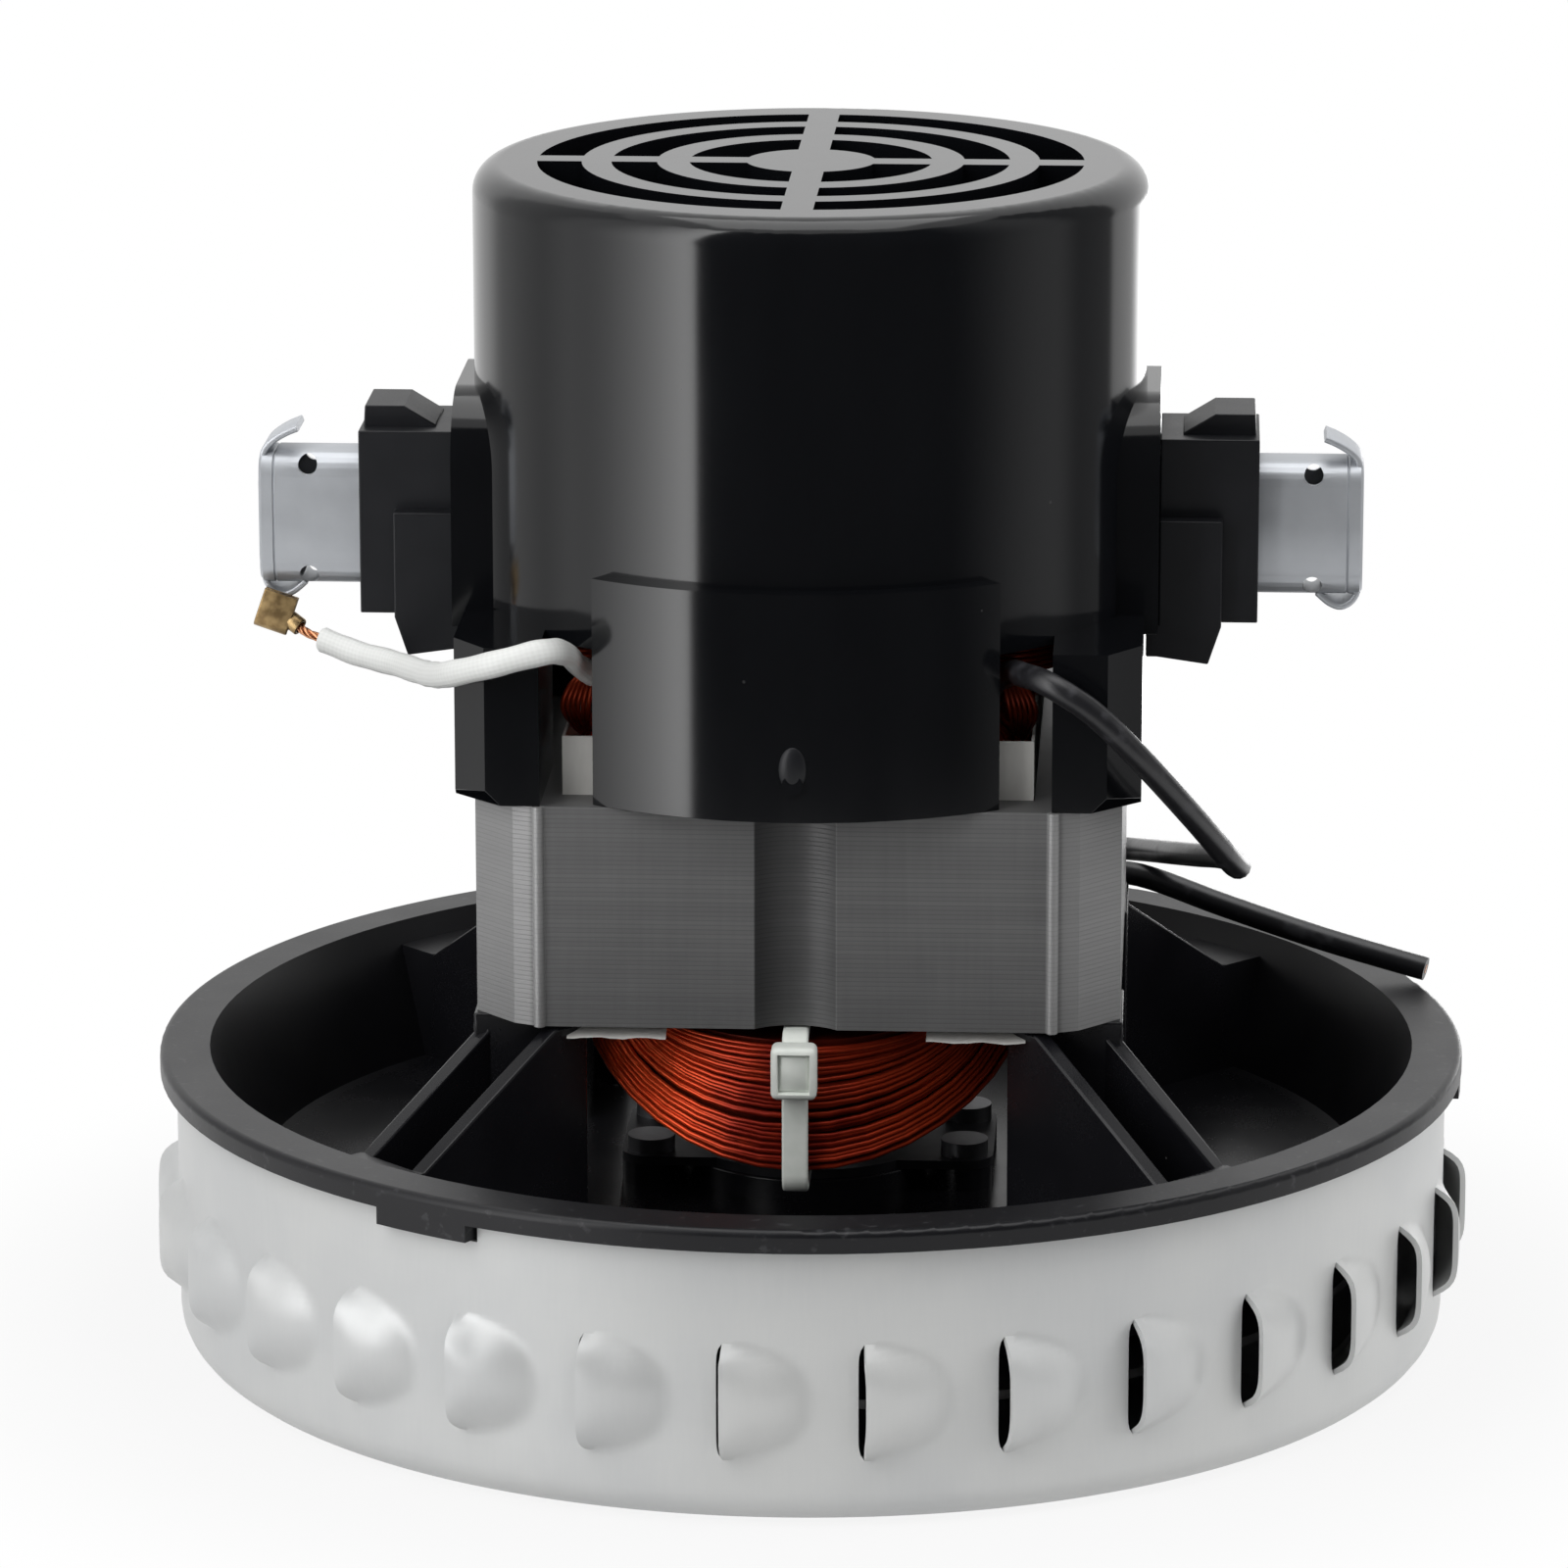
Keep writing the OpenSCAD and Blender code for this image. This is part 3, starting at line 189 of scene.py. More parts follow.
class Finish(Graph):
    """A material on one Principled shader."""

    def __init__(self, name, colour, rough, metal=0.0, fixed=None):
        self.material = bpy.data.materials.new(name)
        self.material.use_nodes = True
        super().__init__(self.material.node_tree)
        self.shader = self.tree.nodes["Principled BSDF"]
        self.put("Base Color", as_colour(colour))
        self.put("Roughness", rough)
        self.put("Metallic", metal)
        for socket, value in (fixed or {}).items():
            self.put(socket, value)
        self.place = self.add("ShaderNodeTexCoord", output="Object")

    def put(self, name, value):
        self.join(self.shader.inputs[name], value)

    def axis(self, name):
        return self.add("ShaderNodeSeparateXYZ", values={0: self.place}, output=name)

    def radius(self):
        """Distance from the shaft's axis."""
        settings = {"operation": "LENGTH"}
        return self.add("ShaderNodeVectorMath", settings, {0: self.stretched((1, 1, 0))}, "Value")

    def stretched(self, stretch):
        settings = {"operation": "MULTIPLY"}
        return self.add("ShaderNodeVectorMath", settings, {0: self.place, 1: stretch})

    def noise(self, size_mm, detail=2.0, stretch=(1, 1, 1)):
        """Cloudy values about 0.5, with patches about size_mm wide."""
        values = {"Vector": self.stretched(stretch), "Scale": 1 / (size_mm * MM), "Detail": detail}
        return self.add("ShaderNodeTexNoise", values=values)

    def specks(self, size_mm, reach):
        """1 in small spots, one to a cell of size_mm, reach of a cell wide."""
        values = {"Vector": self.place, "Scale": 1 / (size_mm * MM)}
        away = self.add("ShaderNodeTexVoronoi", values=values, output="Distance")
        return 1 - away.between(reach * 0.5, reach)

    def surface(self, colour, rough, height, depth_mm, strength):
        """The material, with its colour, its roughness and a bump of depth_mm."""
        self.put("Base Color", colour)
        self.put("Roughness", rough)
        values = {"Height": height, "Distance": depth_mm * MM, "Strength": strength}
        self.put("Normal", self.add("ShaderNodeBump", values=values))
        return self.material


# Finishes of the part

DUST_GREY = (0.4, 0.4, 0.4)
RIM_PAINT = (0.059, 0.063)
RIM_RUBBED = (0.0665, 0.0685)


def can_sheet():
    """Pale plated sheet, drawn and pressed: faint draw lines round the wall, soft blotches."""
    finish = Finish("can_sheet", (0.62, 0.63, 0.625), 0.42, 0.24)
    blotch = finish.noise(22, 3)
    grain = finish.noise(0.5, 2, (1, 1, 0.12))
    draw = finish.noise(0.9, 2, (0.06, 0.06, 1))
    tone = blotch.between(0.3, 0.7) * 0.6 + grain * 0.25 + draw * 0.15
    colour = finish.mix(tone, (0.575, 0.585, 0.59), (0.665, 0.67, 0.66))
    rough = 0.34 + blotch * 0.08 + draw * 0.08
    return finish.surface(colour, rough, draw * 0.6 + grain * 0.4, 0.02, 0.3)


def bracket_black():
    """Black painted casting: fine grain, a little dust, rubbed paint on the rim."""
    finish = Finish("bracket_black", (0.006, 0.006, 0.007), 0.36, fixed={"Specular IOR Level": 0.32})
    grain = finish.noise(0.35, 3)
    cloud = finish.noise(9, 3)
    dust = finish.specks(3.5, 0.04) * finish.noise(14, 2).between(0.52, 0.64)
    rubbed = finish.noise(1.3, 4).between(0.6, 0.72) * finish.radius().between(*RIM_RUBBED)
    base = finish.mix(cloud, (0.004, 0.004, 0.005), (0.009, 0.009, 0.011))
    worn = finish.mix(rubbed * 0.18, base, (0.14, 0.14, 0.15))
    rim = finish.radius().between(*RIM_PAINT)
    colour = finish.mix(dust * 0.3, worn, DUST_GREY)
    rough = 0.17 + rim * 0.12 + cloud * 0.12 + grain * 0.06
    return finish.surface(colour, rough, grain, 0.02, 0.25)


def blackened_steel():
    """Sheet steel with a dull black oxide, greyer where it was handled."""
    finish = Finish("blackened_steel", (0.02, 0.02, 0.022), 0.45, 0.6)
    cloud = finish.noise(3, 3)
    lines = finish.noise(0.4, 2, (0.1, 1, 1))
    colour = finish.mix(cloud, (0.008, 0.008, 0.01), (0.03, 0.03, 0.034))
    rough = 0.38 + cloud * 0.12 + lines * 0.08
    return finish.surface(colour, rough, lines, 0.015, 0.3)


def cover_black():
    """Glossy black moulding: slow ripple of the mould, a trace of dust."""
    finish = Finish("cover_black", (0.007, 0.0075, 0.009), 0.1, fixed={"IOR": 1.46})
    ripple = finish.noise(7, 2, (1, 1, 0.35))
    grain = finish.noise(0.4, 2)
    dust = finish.specks(5, 0.045) * finish.noise(18, 2).between(0.52, 0.64)
    base = finish.mix(ripple, (0.003, 0.0033, 0.0042), (0.005, 0.0054, 0.0066))
    colour = finish.mix(dust * 0.2, base, DUST_GREY)
    rough = 0.08 + ripple * 0.05 + grain * 0.03
    return finish.surface(colour, rough, ripple * 0.8 + grain * 0.02, 0.02, 0.3)


def housing_black():
    """Satin black moulded resin with a fine spark texture."""
    finish = Finish("housing_black", (0.008, 0.0085, 0.0105), 0.38, fixed={"Specular IOR Level": 0.32})
    cloud = finish.noise(5, 2)
    spark = finish.noise(0.25, 3)
    colour = finish.mix(cloud, (0.006, 0.0064, 0.0078), (0.011, 0.0115, 0.0138))
    rough = 0.32 + cloud * 0.1 + spark * 0.12
    return finish.surface(colour, rough, spark, 0.02, 0.35)


def plated_steel():
    """Zinc plated pressing: pale, with faint rolling lines and grey clouds."""
    finish = Finish("plated_steel", (0.56, 0.58, 0.61), 0.42, 0.6)
    cloud = finish.noise(3.5, 3)
    lines = finish.noise(0.3, 2, (0.08, 1, 1))
    colour = finish.mix(cloud, (0.46, 0.48, 0.51), (0.58, 0.6, 0.63))
    rough = 0.34 + cloud * 0.12 + lines * 0.08
    return finish.surface(colour, rough, lines, 0.015, 0.35)


def turned_steel(name, colour, rough):
    """Bright turned steel, with fine tool rings round the shaft's axis."""
    finish = Finish(name, colour, rough, 1.0)
    rings = finish.noise(0.25, 2, (0.2, 0.2, 1))
    stain = finish.noise(4, 3)
    light = tuple(min(1.0, value * 1.12) for value in colour)
    dark = tuple(value * 0.86 for value in colour)
    stained = finish.mix(stain, dark, light)
    turned = rough - 0.05 + rings * 0.1 + stain * 0.05
    return finish.surface(stained, turned, rings, 0.01, 0.3)


LAMINATION = 0.5
WELD_AT = (0.0273, 0.033, 0.0)
WELD_EDGE = (0.0005, 0.0008)
# distance from the middle where painted light comes on over the corner flats
LIT_CORNER_RAMP = (0.0279, 0.0285)
GROOVE_HALF = 0.0044


def lamination_steel():
    """Stamped sheets on edge: one tone to a sheet, a dark seam between sheets, vertical press marks and
    bright weld beads, with painted light on the flats at the corners and painted shade in the groove, darkest
    on its left wall."""
    finish = Finish("lamination_steel", (0.2, 0.2, 0.2), 0.5, 0.6)
    layer = finish.axis("Z") / (LAMINATION * MM)
    each = finish.add("ShaderNodeTexWhiteNoise", {"noise_dimensions": "1D"}, {"W": layer.floor()})
    edge = layer.part() - 0.5
    seam = edge.math("ABSOLUTE", edge).between(0.3, 0.5)
    marks = finish.noise(0.7, 3, (1, 1, 0.05))
    cloud = finish.noise(8, 3)
    tone = each * 0.22 + marks * 0.38 + cloud * 0.4
    sheets = finish.mix(tone, (0.12, 0.12, 0.122), (0.21, 0.21, 0.21))
    seamed = finish.mix(seam * 0.22, sheets, (0.07, 0.07, 0.07))
    folded = finish.add("ShaderNodeVectorMath", {"operation": "ABSOLUTE"}, {0: finish.stretched((1, 1, 0))})
    to_weld = finish.add("ShaderNodeVectorMath", {"operation": "DISTANCE"}, {0: folded, 1: WELD_AT}, "Value")
    weld = 1 - to_weld.between(*WELD_EDGE)
    side = finish.axis("X")
    reach = side.math("ABSOLUTE", side)
    in_groove = 1 - reach.between(GROOVE_HALF * 0.96, GROOVE_HALF)
    # painted shade in the groove, stronger over its left half, mixed towards near black below
    painted_shade = in_groove * (0.85 - 0.3 * side.between(-GROOVE_HALF, -GROOVE_HALF * 0.1))
    run = finish.mix(painted_shade, seamed, (0.03, 0.03, 0.031))
    # painted light: the corner flats are mixed a third of the way towards pale grey
    lit_corners = finish.mix(reach.between(*LIT_CORNER_RAMP) * 0.3, run, (0.5, 0.5, 0.5))
    colour = finish.mix(weld * 0.45, lit_corners, (0.62, 0.62, 0.62))
    rough = 0.42 + marks * 0.12 + seam * 0.15
    return finish.surface(colour, rough, marks * 0.3 + each * 0.3 - seam * 0.5, 0.03, 0.4)


def white_paper():
    """Insulating paper: matt, slightly mottled, with a fibre grain."""
    finish = Finish("white_paper", (0.7, 0.69, 0.66), 0.8)
    fibre = finish.noise(0.6, 4, (1, 1, 0.3))
    cloud = finish.noise(6, 2)
    colour = finish.mix(fibre * 0.5 + cloud * 0.5, (0.6, 0.59, 0.56), (0.8, 0.79, 0.76))
    rough = 0.7 + fibre * 0.2
    return finish.surface(colour, rough, fibre, 0.03, 0.4)


# distances across the coil where painted shade comes on, and where it eases a little
SHADE_COMES_ON = (-0.016, -0.006)
SHADE_EASES = (0.005, 0.015)


def enamel_wire(name, shade=1.0):
    """Copper wire under a clear red enamel: wet gloss, tone drifting along the wire and painted shade across
    the coil that keeps its left bright and darkens its middle and right; shade below 1 darkens every colour."""
    dark = (0.64 * shade, 0.042 * shade, 0.01 * shade)
    light = (1.0 * shade, 0.15 * shade, 0.04 * shade)
    # dark colour for the painted shade and for patches of drift
    shade_and_drift_dark = (0.16 * shade, 0.006 * shade, 0.003 * shade)
    finish = Finish(name, light, 0.3, 0.6, {"Specular IOR Level": 0.3})
    drift = finish.noise(5, 2)
    fleck = finish.noise(0.7, 3)
    clear = finish.mix(drift * 0.65 + fleck * 0.35, dark, light)
    across = finish.axis("X")
    # painted shade by position across the coil
    painted_shade = 0.74 * across.between(*SHADE_COMES_ON) - 0.28 * across.between(*SHADE_EASES)
    shade_and_drift = painted_shade + drift.between(0.45, 0.65) * 0.2
    colour = finish.mix(shade_and_drift, clear, shade_and_drift_dark)
    rough = 0.24 + fleck * 0.16
    return finish.surface(colour, rough, fleck, 0.02, 0.3)


def white_nylon():
    """Natural nylon of a cable tie: milky, satin."""
    finish = Finish("white_nylon", (0.72, 0.75, 0.7), 0.42)
    milk = finish.noise(2, 2)
    colour = finish.mix(milk, (0.64, 0.68, 0.63), (0.8, 0.82, 0.78))
    rough = 0.34 + milk * 0.14
    return finish.surface(colour, rough, milk, 0.04, 0.3)


def brass_clip():
    """Bare brass, tarnished in patches."""
    finish = Finish("brass_clip", (0.4, 0.28, 0.1), 0.35, 1.0)
    tarnish = finish.noise(1.1, 2)
    lines = finish.noise(0.3, 2, (1, 1, 0.1))
    colour = finish.mix(tarnish.between(0.3, 0.7), (0.24, 0.16, 0.075), (0.44, 0.31, 0.15))
    rough = 0.24 + tarnish * 0.22 + lines * 0.08
    return finish.surface(colour, rough, lines, 0.015, 0.4)


YARNS = 9
YARN_PITCH = 0.0011


def braid_sleeve():
    """Woven glass sleeve: two sets of slanting yarns crossing."""
    finish = Finish("white_sleeve", (0.75, 0.76, 0.74), 0.55)
    chart = finish.add("ShaderNodeUVMap", {"uv_map": "along"})
    along = finish.add("ShaderNodeSeparateXYZ", values={0: chart}, output="X")
    around = finish.add("ShaderNodeSeparateXYZ", values={0: chart}, output="Y")
    turn = 2 * math.pi
    one_way = (along * (turn / YARN_PITCH) + around * (turn * YARNS)).wave()
    other_way = (along * (turn / YARN_PITCH) - around * (turn * YARNS)).wave()
    weave = one_way * other_way * 0.5 + 0.5
    soil = finish.noise(4, 3)
    colour = finish.mix(weave * 0.5 + soil * 0.5, (0.76, 0.77, 0.75), (0.9, 0.91, 0.89))
    rough = 0.6 - weave * 0.2
    return finish.surface(colour, rough, weave, 0.06, 0.4)


def black_lead():
    """Soft black insulation with a dull skin and a few scuffs."""
    finish = Finish("black_lead", (0.014, 0.014, 0.016), 0.4)
    skin = finish.noise(0.8, 3)
    scuff = finish.noise(3, 4).between(0.56, 0.7)
    colour = finish.mix(scuff, (0.011, 0.011, 0.013), (0.03, 0.03, 0.034))
    rough = 0.3 + skin * 0.12 + scuff * 0.1
    return finish.surface(colour, rough, skin, 0.02, 0.3)


def carbon():
    """Pressed carbon: dull grey black with graphite glints."""
    finish = Finish("carbon", (0.03, 0.03, 0.032), 0.5, 0.2)
    grain = finish.noise(0.3, 4)
    colour = finish.mix(grain, (0.018, 0.018, 0.02), (0.05, 0.05, 0.053))
    rough = 0.38 + grain * 0.25
    return finish.surface(colour, rough, grain, 0.03, 0.4)


def hub_resin():
    """Dark brown moulded resin of the commutator's hub."""
    finish = Finish("hub_resin", (0.06, 0.03, 0.018), 0.45)
    cloud = finish.noise(1.2, 3)
    colour = finish.mix(cloud, (0.045, 0.022, 0.014), (0.08, 0.042, 0.024))
    rough = 0.38 + cloud * 0.15
    return finish.surface(colour, rough, cloud, 0.02, 0.3)


TRACK_LOW = (0.0845, 0.086)
TRACK_HIGH = (0.0965, 0.0978)


def commutator_copper():
    """Copper bars with a brown brush track round the middle."""
    finish = Finish("commutator_copper", (0.6, 0.27, 0.14), 0.3, 1.0)
    height = finish.axis("Z")
    track = height.between(*TRACK_LOW) * (1 - height.between(*TRACK_HIGH))
    rings = finish.noise(0.2, 2, (0.1, 0.1, 1))
    bright = finish.mix(rings, (0.5, 0.22, 0.11), (0.68, 0.33, 0.18))
    colour = finish.mix(track * 0.75, bright, (0.16, 0.085, 0.055))
    rough = 0.24 + rings * 0.12
    return finish.surface(colour, rough, rings, 0.012, 0.4)


def impeller_sheet():
    """Bare aluminium sheet with rolling lines and a cloudy film of dust, darkened overall as painted shade
    inside the can.
    """
    finish = Finish("impeller_sheet", (0.6, 0.6, 0.61), 0.36, 0.9)
    lines = finish.noise(0.4, 2, (0.05, 1, 1))
    film = finish.noise(12, 3)
    # painted shade: both colours are far darker than bare aluminium
    colour = finish.mix(film, (0.3, 0.3, 0.3), (0.46, 0.46, 0.47))
    rough = 0.34 + lines * 0.1 + film * 0.1
    return finish.surface(colour, rough, lines, 0.012, 0.35)


FINISHES = {
    "can_sheet": can_sheet(),
    "bracket_black": bracket_black(),
    "plated_steel": plated_steel(),
    "bright_steel": turned_steel("bright_steel", (0.62, 0.63, 0.65), 0.28),
    "lamination_steel": lamination_steel(),
    "white_paper": white_paper(),
    "red_enamel_wire": enamel_wire("red_enamel_wire"),
    "white_nylon": white_nylon(),
    "white_sleeve": braid_sleeve(),
    "black_lead": black_lead(),
    "cover_black": cover_black(),
    "housing_black": housing_black(),
    "carbon": carbon(),
    "brass_clip": brass_clip(),
    "bearing_steel": turned_steel("bearing_steel", (0.7, 0.71, 0.73), 0.18),
    "cage_brass": turned_steel("cage_brass", (0.5, 0.36, 0.16), 0.34),
    "hub_resin": hub_resin(),
    "commutator_copper": commutator_copper(),
    "impeller_sheet": impeller_sheet(),
}
OWN_FINISHES = {
    "bearing_retainer": blackened_steel(),
    "retainer_screws": turned_steel("screw_steel", (0.2, 0.2, 0.21), 0.42),
}
# painted shade: a copy of the red enamel wire at about a third of its brightness, for wires in shade
SHADED_WIRE = enamel_wire("shaded_inner_wire", 0.35)


# Mesh helpers

def mesh_from(name, points, faces, sharp=40):
    """A smooth shaded mesh from points in millimetres."""
    mesh = bpy.data.meshes.new(name)
    mesh.from_pydata([Vector(point) * MM for point in points], [], faces)
    mesh.update()
    shade(mesh, sharp)
    return mesh


def closed_mesh(name, shapes, sharp=40):
    """A mesh of one or more closed shapes, with every face turned outward."""
    points, faces = join_shapes(shapes)
    mesh = mesh_from(name, points, faces, sharp)
    shape = bmesh.new()
    shape.from_mesh(mesh)
    bmesh.ops.recalc_face_normals(shape, faces=shape.faces)
    shape.to_mesh(mesh)
    shape.free()
    shade(mesh, sharp)
    return mesh


def shade(mesh, sharp):
    mesh.shade_smooth()
    mesh.set_sharp_from_angle(angle=math.radians(sharp))


def apply_modifiers(piece, sharp):
    """Keep the shape that the modifiers give, as a plain mesh."""
    graph = bpy.context.evaluated_depsgraph_get()
    made = bpy.data.meshes.new_from_object(piece.evaluated_get(graph))
    piece.modifiers.clear()
    piece.data = made
    shade(made, sharp)


def add_piece(name, mesh, slot, replaces=(), material=None):
    """A piece on the housing that stands for the nodes in replaces, in its slot's finish or its own."""
    piece = put_in_scene(name, mesh)
    piece.data.materials.clear()
    piece.data.materials.append(material or FINISHES[slot])
    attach(piece, "housing")
    if replaces:
        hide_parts(*replaces)
    return piece


def smooth_route(route, steps):
    """Points along a smooth curve through every point of the route."""
    points = [Vector(point) for point in route]
    path = []
    for k in range(len(points) - 1):
        before = points[max(k - 1, 0)]
        start = points[k]
        end = points[k + 1]
        after = points[min(k + 2, len(points) - 1)]
        for i in range(steps):
            t = i / steps
            path.append(0.5 * (2 * start + (end - before) * t
                               + (2 * before - 5 * start + 4 * end - after) * t ** 2
                               + (3 * start - before - 3 * end + after) * t ** 3))
    path.append(points[-1])
    return path


def route_length(path):
    return sum((b - a).length for a, b in zip(path, path[1:]))


def square_to(axis):
    """Two directions across an axis."""
    first = axis.orthogonal().normalized()
    return first, axis.cross(first)


def beside(centre, across, turn, reach):
    """A point at reach from a centre, at an angle round the axis that across was made from."""
    first, second = across
    return centre + (first * math.cos(turn) + second * math.sin(turn)) * reach


def spun(point, spin):
    """The point itself, or for -1 half a turn round the shaft's axis."""
    return (point[0] * spin, point[1] * spin, point[2])


def tube(path, radii, sides, upright=None, squeeze=1.0):
    """Points and faces of a tube along a path, closed at both ends; squeeze makes it oval."""
    count = len(path)
    tangents = [(path[min(i + 1, count - 1)] - path[max(i - 1, 0)]).normalized() for i in range(count)]
    across = upright or tangents[0].orthogonal()
    points = []
    for i, centre in enumerate(path):
        across = (across - tangents[i] * across.dot(tangents[i])).normalized()
        other = tangents[i].cross(across) * squeeze
        for k in range(sides):
            turn = 2 * math.pi * k / sides
            points.append(centre + (across * math.cos(turn) + other * math.sin(turn)) * radii[i])
    return points, skin(count, sides)


def skin(rings, sides, closed=False):
    """Faces over rings of points, with a cap on each end unless the last ring meets the first."""
    faces = []
    for i in range(rings if closed else rings - 1):
        j = (i + 1) % rings
        for k in range(sides):
            n = (k + 1) % sides
            faces.append((i * sides + k, i * sides + n, j * sides + n, j * sides + k))
    if not closed:
        faces.append(tuple(reversed(range(sides))))
        faces.append(tuple(range((rings - 1) * sides, rings * sides)))
    return faces


def rounded_outline(wide, tall, radius, steps=3):
    """Points round a rectangle with round corners."""
    points = []
    for k, (x, y) in enumerate(((1, 1), (-1, 1), (-1, -1), (1, -1))):
        for i in range(steps + 1):
            turn = math.radians(90 * (k + i / steps))
            points.append((x * (wide / 2 - radius) + radius * math.cos(turn),
                           y * (tall / 2 - radius) + radius * math.sin(turn)))
    return points


def strip(path, wide, width, thick, closed=False):
    """A flat strip with soft edges along a path; wide is the direction of its width."""
    outline = rounded_outline(width, thick, thick * 0.35)
    count = len(path)
    points = []
    for i, centre in enumerate(path):
        before = path[i - 1] if closed or i else path[0]
        after = path[(i + 1) % count] if closed or i < count - 1 else path[i]
        out = (after - before).normalized().cross(wide)
        points.extend(centre + wide * a + out * b for a, b in outline)
    return points, skin(count, len(outline), closed)


def join_shapes(shapes):
    points = []
    faces = []
    for some_points, some_faces in shapes:
        start = len(points)
        points.extend(some_points)
        faces.extend(tuple(i + start for i in face) for face in some_faces)
    return points, faces


RIM_FILLET = (71.2, 31.8, 0.8)
FILLET_NEAR = 0.03
LEVEL_FACE = 0.05
WALL_FROM = 20
WALL_FACING = 0.995
WALL_STEP = 4.5
WALL_TRUE = 0.15
DRUM_LOW = 83.6


def own_normal(face, vert):
    """The true normal at a corner: of the rim's fillet, of a wall round the shaft's axis, or of the face."""
    reach, height, bend = RIM_FILLET
    spots = [(math.hypot(v.co.x, v.co.y) / MM - reach, v.co.z / MM - height) for v in face.verts]
    if all(min(spot) > -FILLET_NEAR and abs(math.hypot(*spot) - bend) < FILLET_NEAR for spot in spots):
        away = math.hypot(vert.co.x, vert.co.y)
        tip = (away / MM - reach) / away
        return Vector((vert.co.x * tip, vert.co.y * tip, vert.co.z / MM - height)).normalized()
    flat = face.normal.copy()
    across = math.hypot(flat.x, flat.y)
    middle = face.calc_center_median()
    out = Vector((middle.x, middle.y, 0))
    facing_out = abs(out.normalized().dot(flat))
    if across < LEVEL_FACE or out.length < WALL_FROM * MM or facing_out < WALL_FACING * across:
        return flat
    rings = {}
    for spot in (v.co for v in face.verts):
        flat_spot = Vector((spot.x, spot.y, 0))
        if flat_spot.angle(out) > math.radians(WALL_STEP):
            return flat
        rings.setdefault(round(spot.z / MM, 1), []).append(flat_spot.length)
    if max(max(ring) - min(ring) for ring in rings.values()) > WALL_TRUE * MM:
        return flat
    radial = Vector((vert.co.x, vert.co.y, 0)).normalized()
    radial *= math.copysign(across, radial.dot(flat))
    return Vector((radial.x, radial.y, flat.z)).normalized()


def corner_normals(shape, rounds):
    """Normals that keep flat faces flat and walls round, and turn only across the rounded edges."""
    rounds = set(rounds)
    around = {}
    for vert in shape.verts:
        around[vert] = [(face, own_normal(face, vert)) for face in vert.link_faces if face not in rounds]
    near = math.cos(math.radians(25))
    wide = math.cos(math.radians(70))
    normals = []
    for face in shape.faces:
        limit = wide if face in rounds else near
        for loop in face.loops:
            own = face.normal if face in rounds else own_normal(face, loop.vert)
            total = Vector()
            for other, normal in around[loop.vert]:
                if normal.dot(own) > limit:
                    total += normal * ((other.calc_area() / MM ** 2) ** 2 + 1e-6)
            if total.length == 0:
                total = sum((other.normal for other in loop.vert.link_faces), Vector())
            normals.append(total.normalized() if total.length > 0 else own)
    return normals


def eased(node, width, slot, angle=32, inside=1000, below=1000, shortest=0.5):
    """A copy of a solid with its longer outer edges rounded, standing for that solid; only edges nearer
    the shaft's axis than inside and lower than below are rounded."""
    shape = bmesh.new()
    shape.from_mesh(nodes[node].data)
    bmesh.ops.remove_doubles(shape, verts=shape.verts, dist=2e-6)
    limit = math.radians(angle)
    edges = []
    for edge in shape.edges:
        if len(edge.link_faces) != 2 or not edge.is_convex or edge.calc_length() < shortest * MM:
            continue
        far = max(math.hypot(vert.co.x, vert.co.y) for vert in edge.verts)
        high = max(vert.co.z for vert in edge.verts)
        if far < inside * MM and high < below * MM and edge.calc_face_angle() > limit:
            edges.append(edge)
    made = bmesh.ops.bevel(shape, geom=edges, offset=width * MM, segments=2, profile=0.6,
                           affect="EDGES", clamp_overlap=True)
    shape.normal_update()
    normals = corner_normals(shape, made["faces"])
    mesh = bpy.data.meshes.new(node + "_eased")
    shape.to_mesh(mesh)
    shape.free()
    mesh.shade_smooth()
    mesh.normals_split_custom_set(normals)
    add_piece(node + "_eased", mesh, slot, (node,))


# Leads, along the same points as the solids

LEAD_D = 2.7
STRANDS_ROUND = 6
STRAND_R = 0.18
STRAND_AWAY = 0.38
STRAND_PROUD = 0.04
LEAD_ROUTE = [
    (20.6, -24.4, 78.6), (22.6, -27.2, 80.6), (24, -31.4, 81.4), (26.8, -35.6, 81.4),
    (31.4, -36.4, 78.6), (36.4, -34.5, 73.2), (42, -28, 65.3), (46.2, -19, 58),
    (47, -8, 54.6), (45.6, 2, 52.8), (42.9, 12, 50.3), (40, 24, 47.3), (37.4, 36, 44.3),
    (34.6, 46, 41.8), (30, 51.4, 40.6), (24.6, 50.4, 40.2), (22, 45.6, 40.2), (24.4, 40.6, 40.6),
    (29.6, 37.6, 41.2), (36, 35.2, 41.6), (45.8, 31.2, 39.2), (57, 26.6, 36.7), (68.6, 23.5, 34.2),
]
SLEEVE_TALL = 2.9
SLEEVE_FLAT = 0.74
SLEEVE_RIPPLE = 0.05
SLEEVE_MOUTH = 0.86
SLEEVE_ROUTE = [
    (-53.2, -5.7, 78.2), (-49, -8, 77.2), (-44.5, -12, 77.1), (-41, -18.5, 77.8), (-39, -25, 79.1),
    (-36.6, -32, 80.9), (-31.5, -36, 83), (-26.4, -35.4, 84.2), (-24.4, -31.6, 83.2),
    (-23.2, -27.4, 80.8), (-21, -24, 78.4),
]


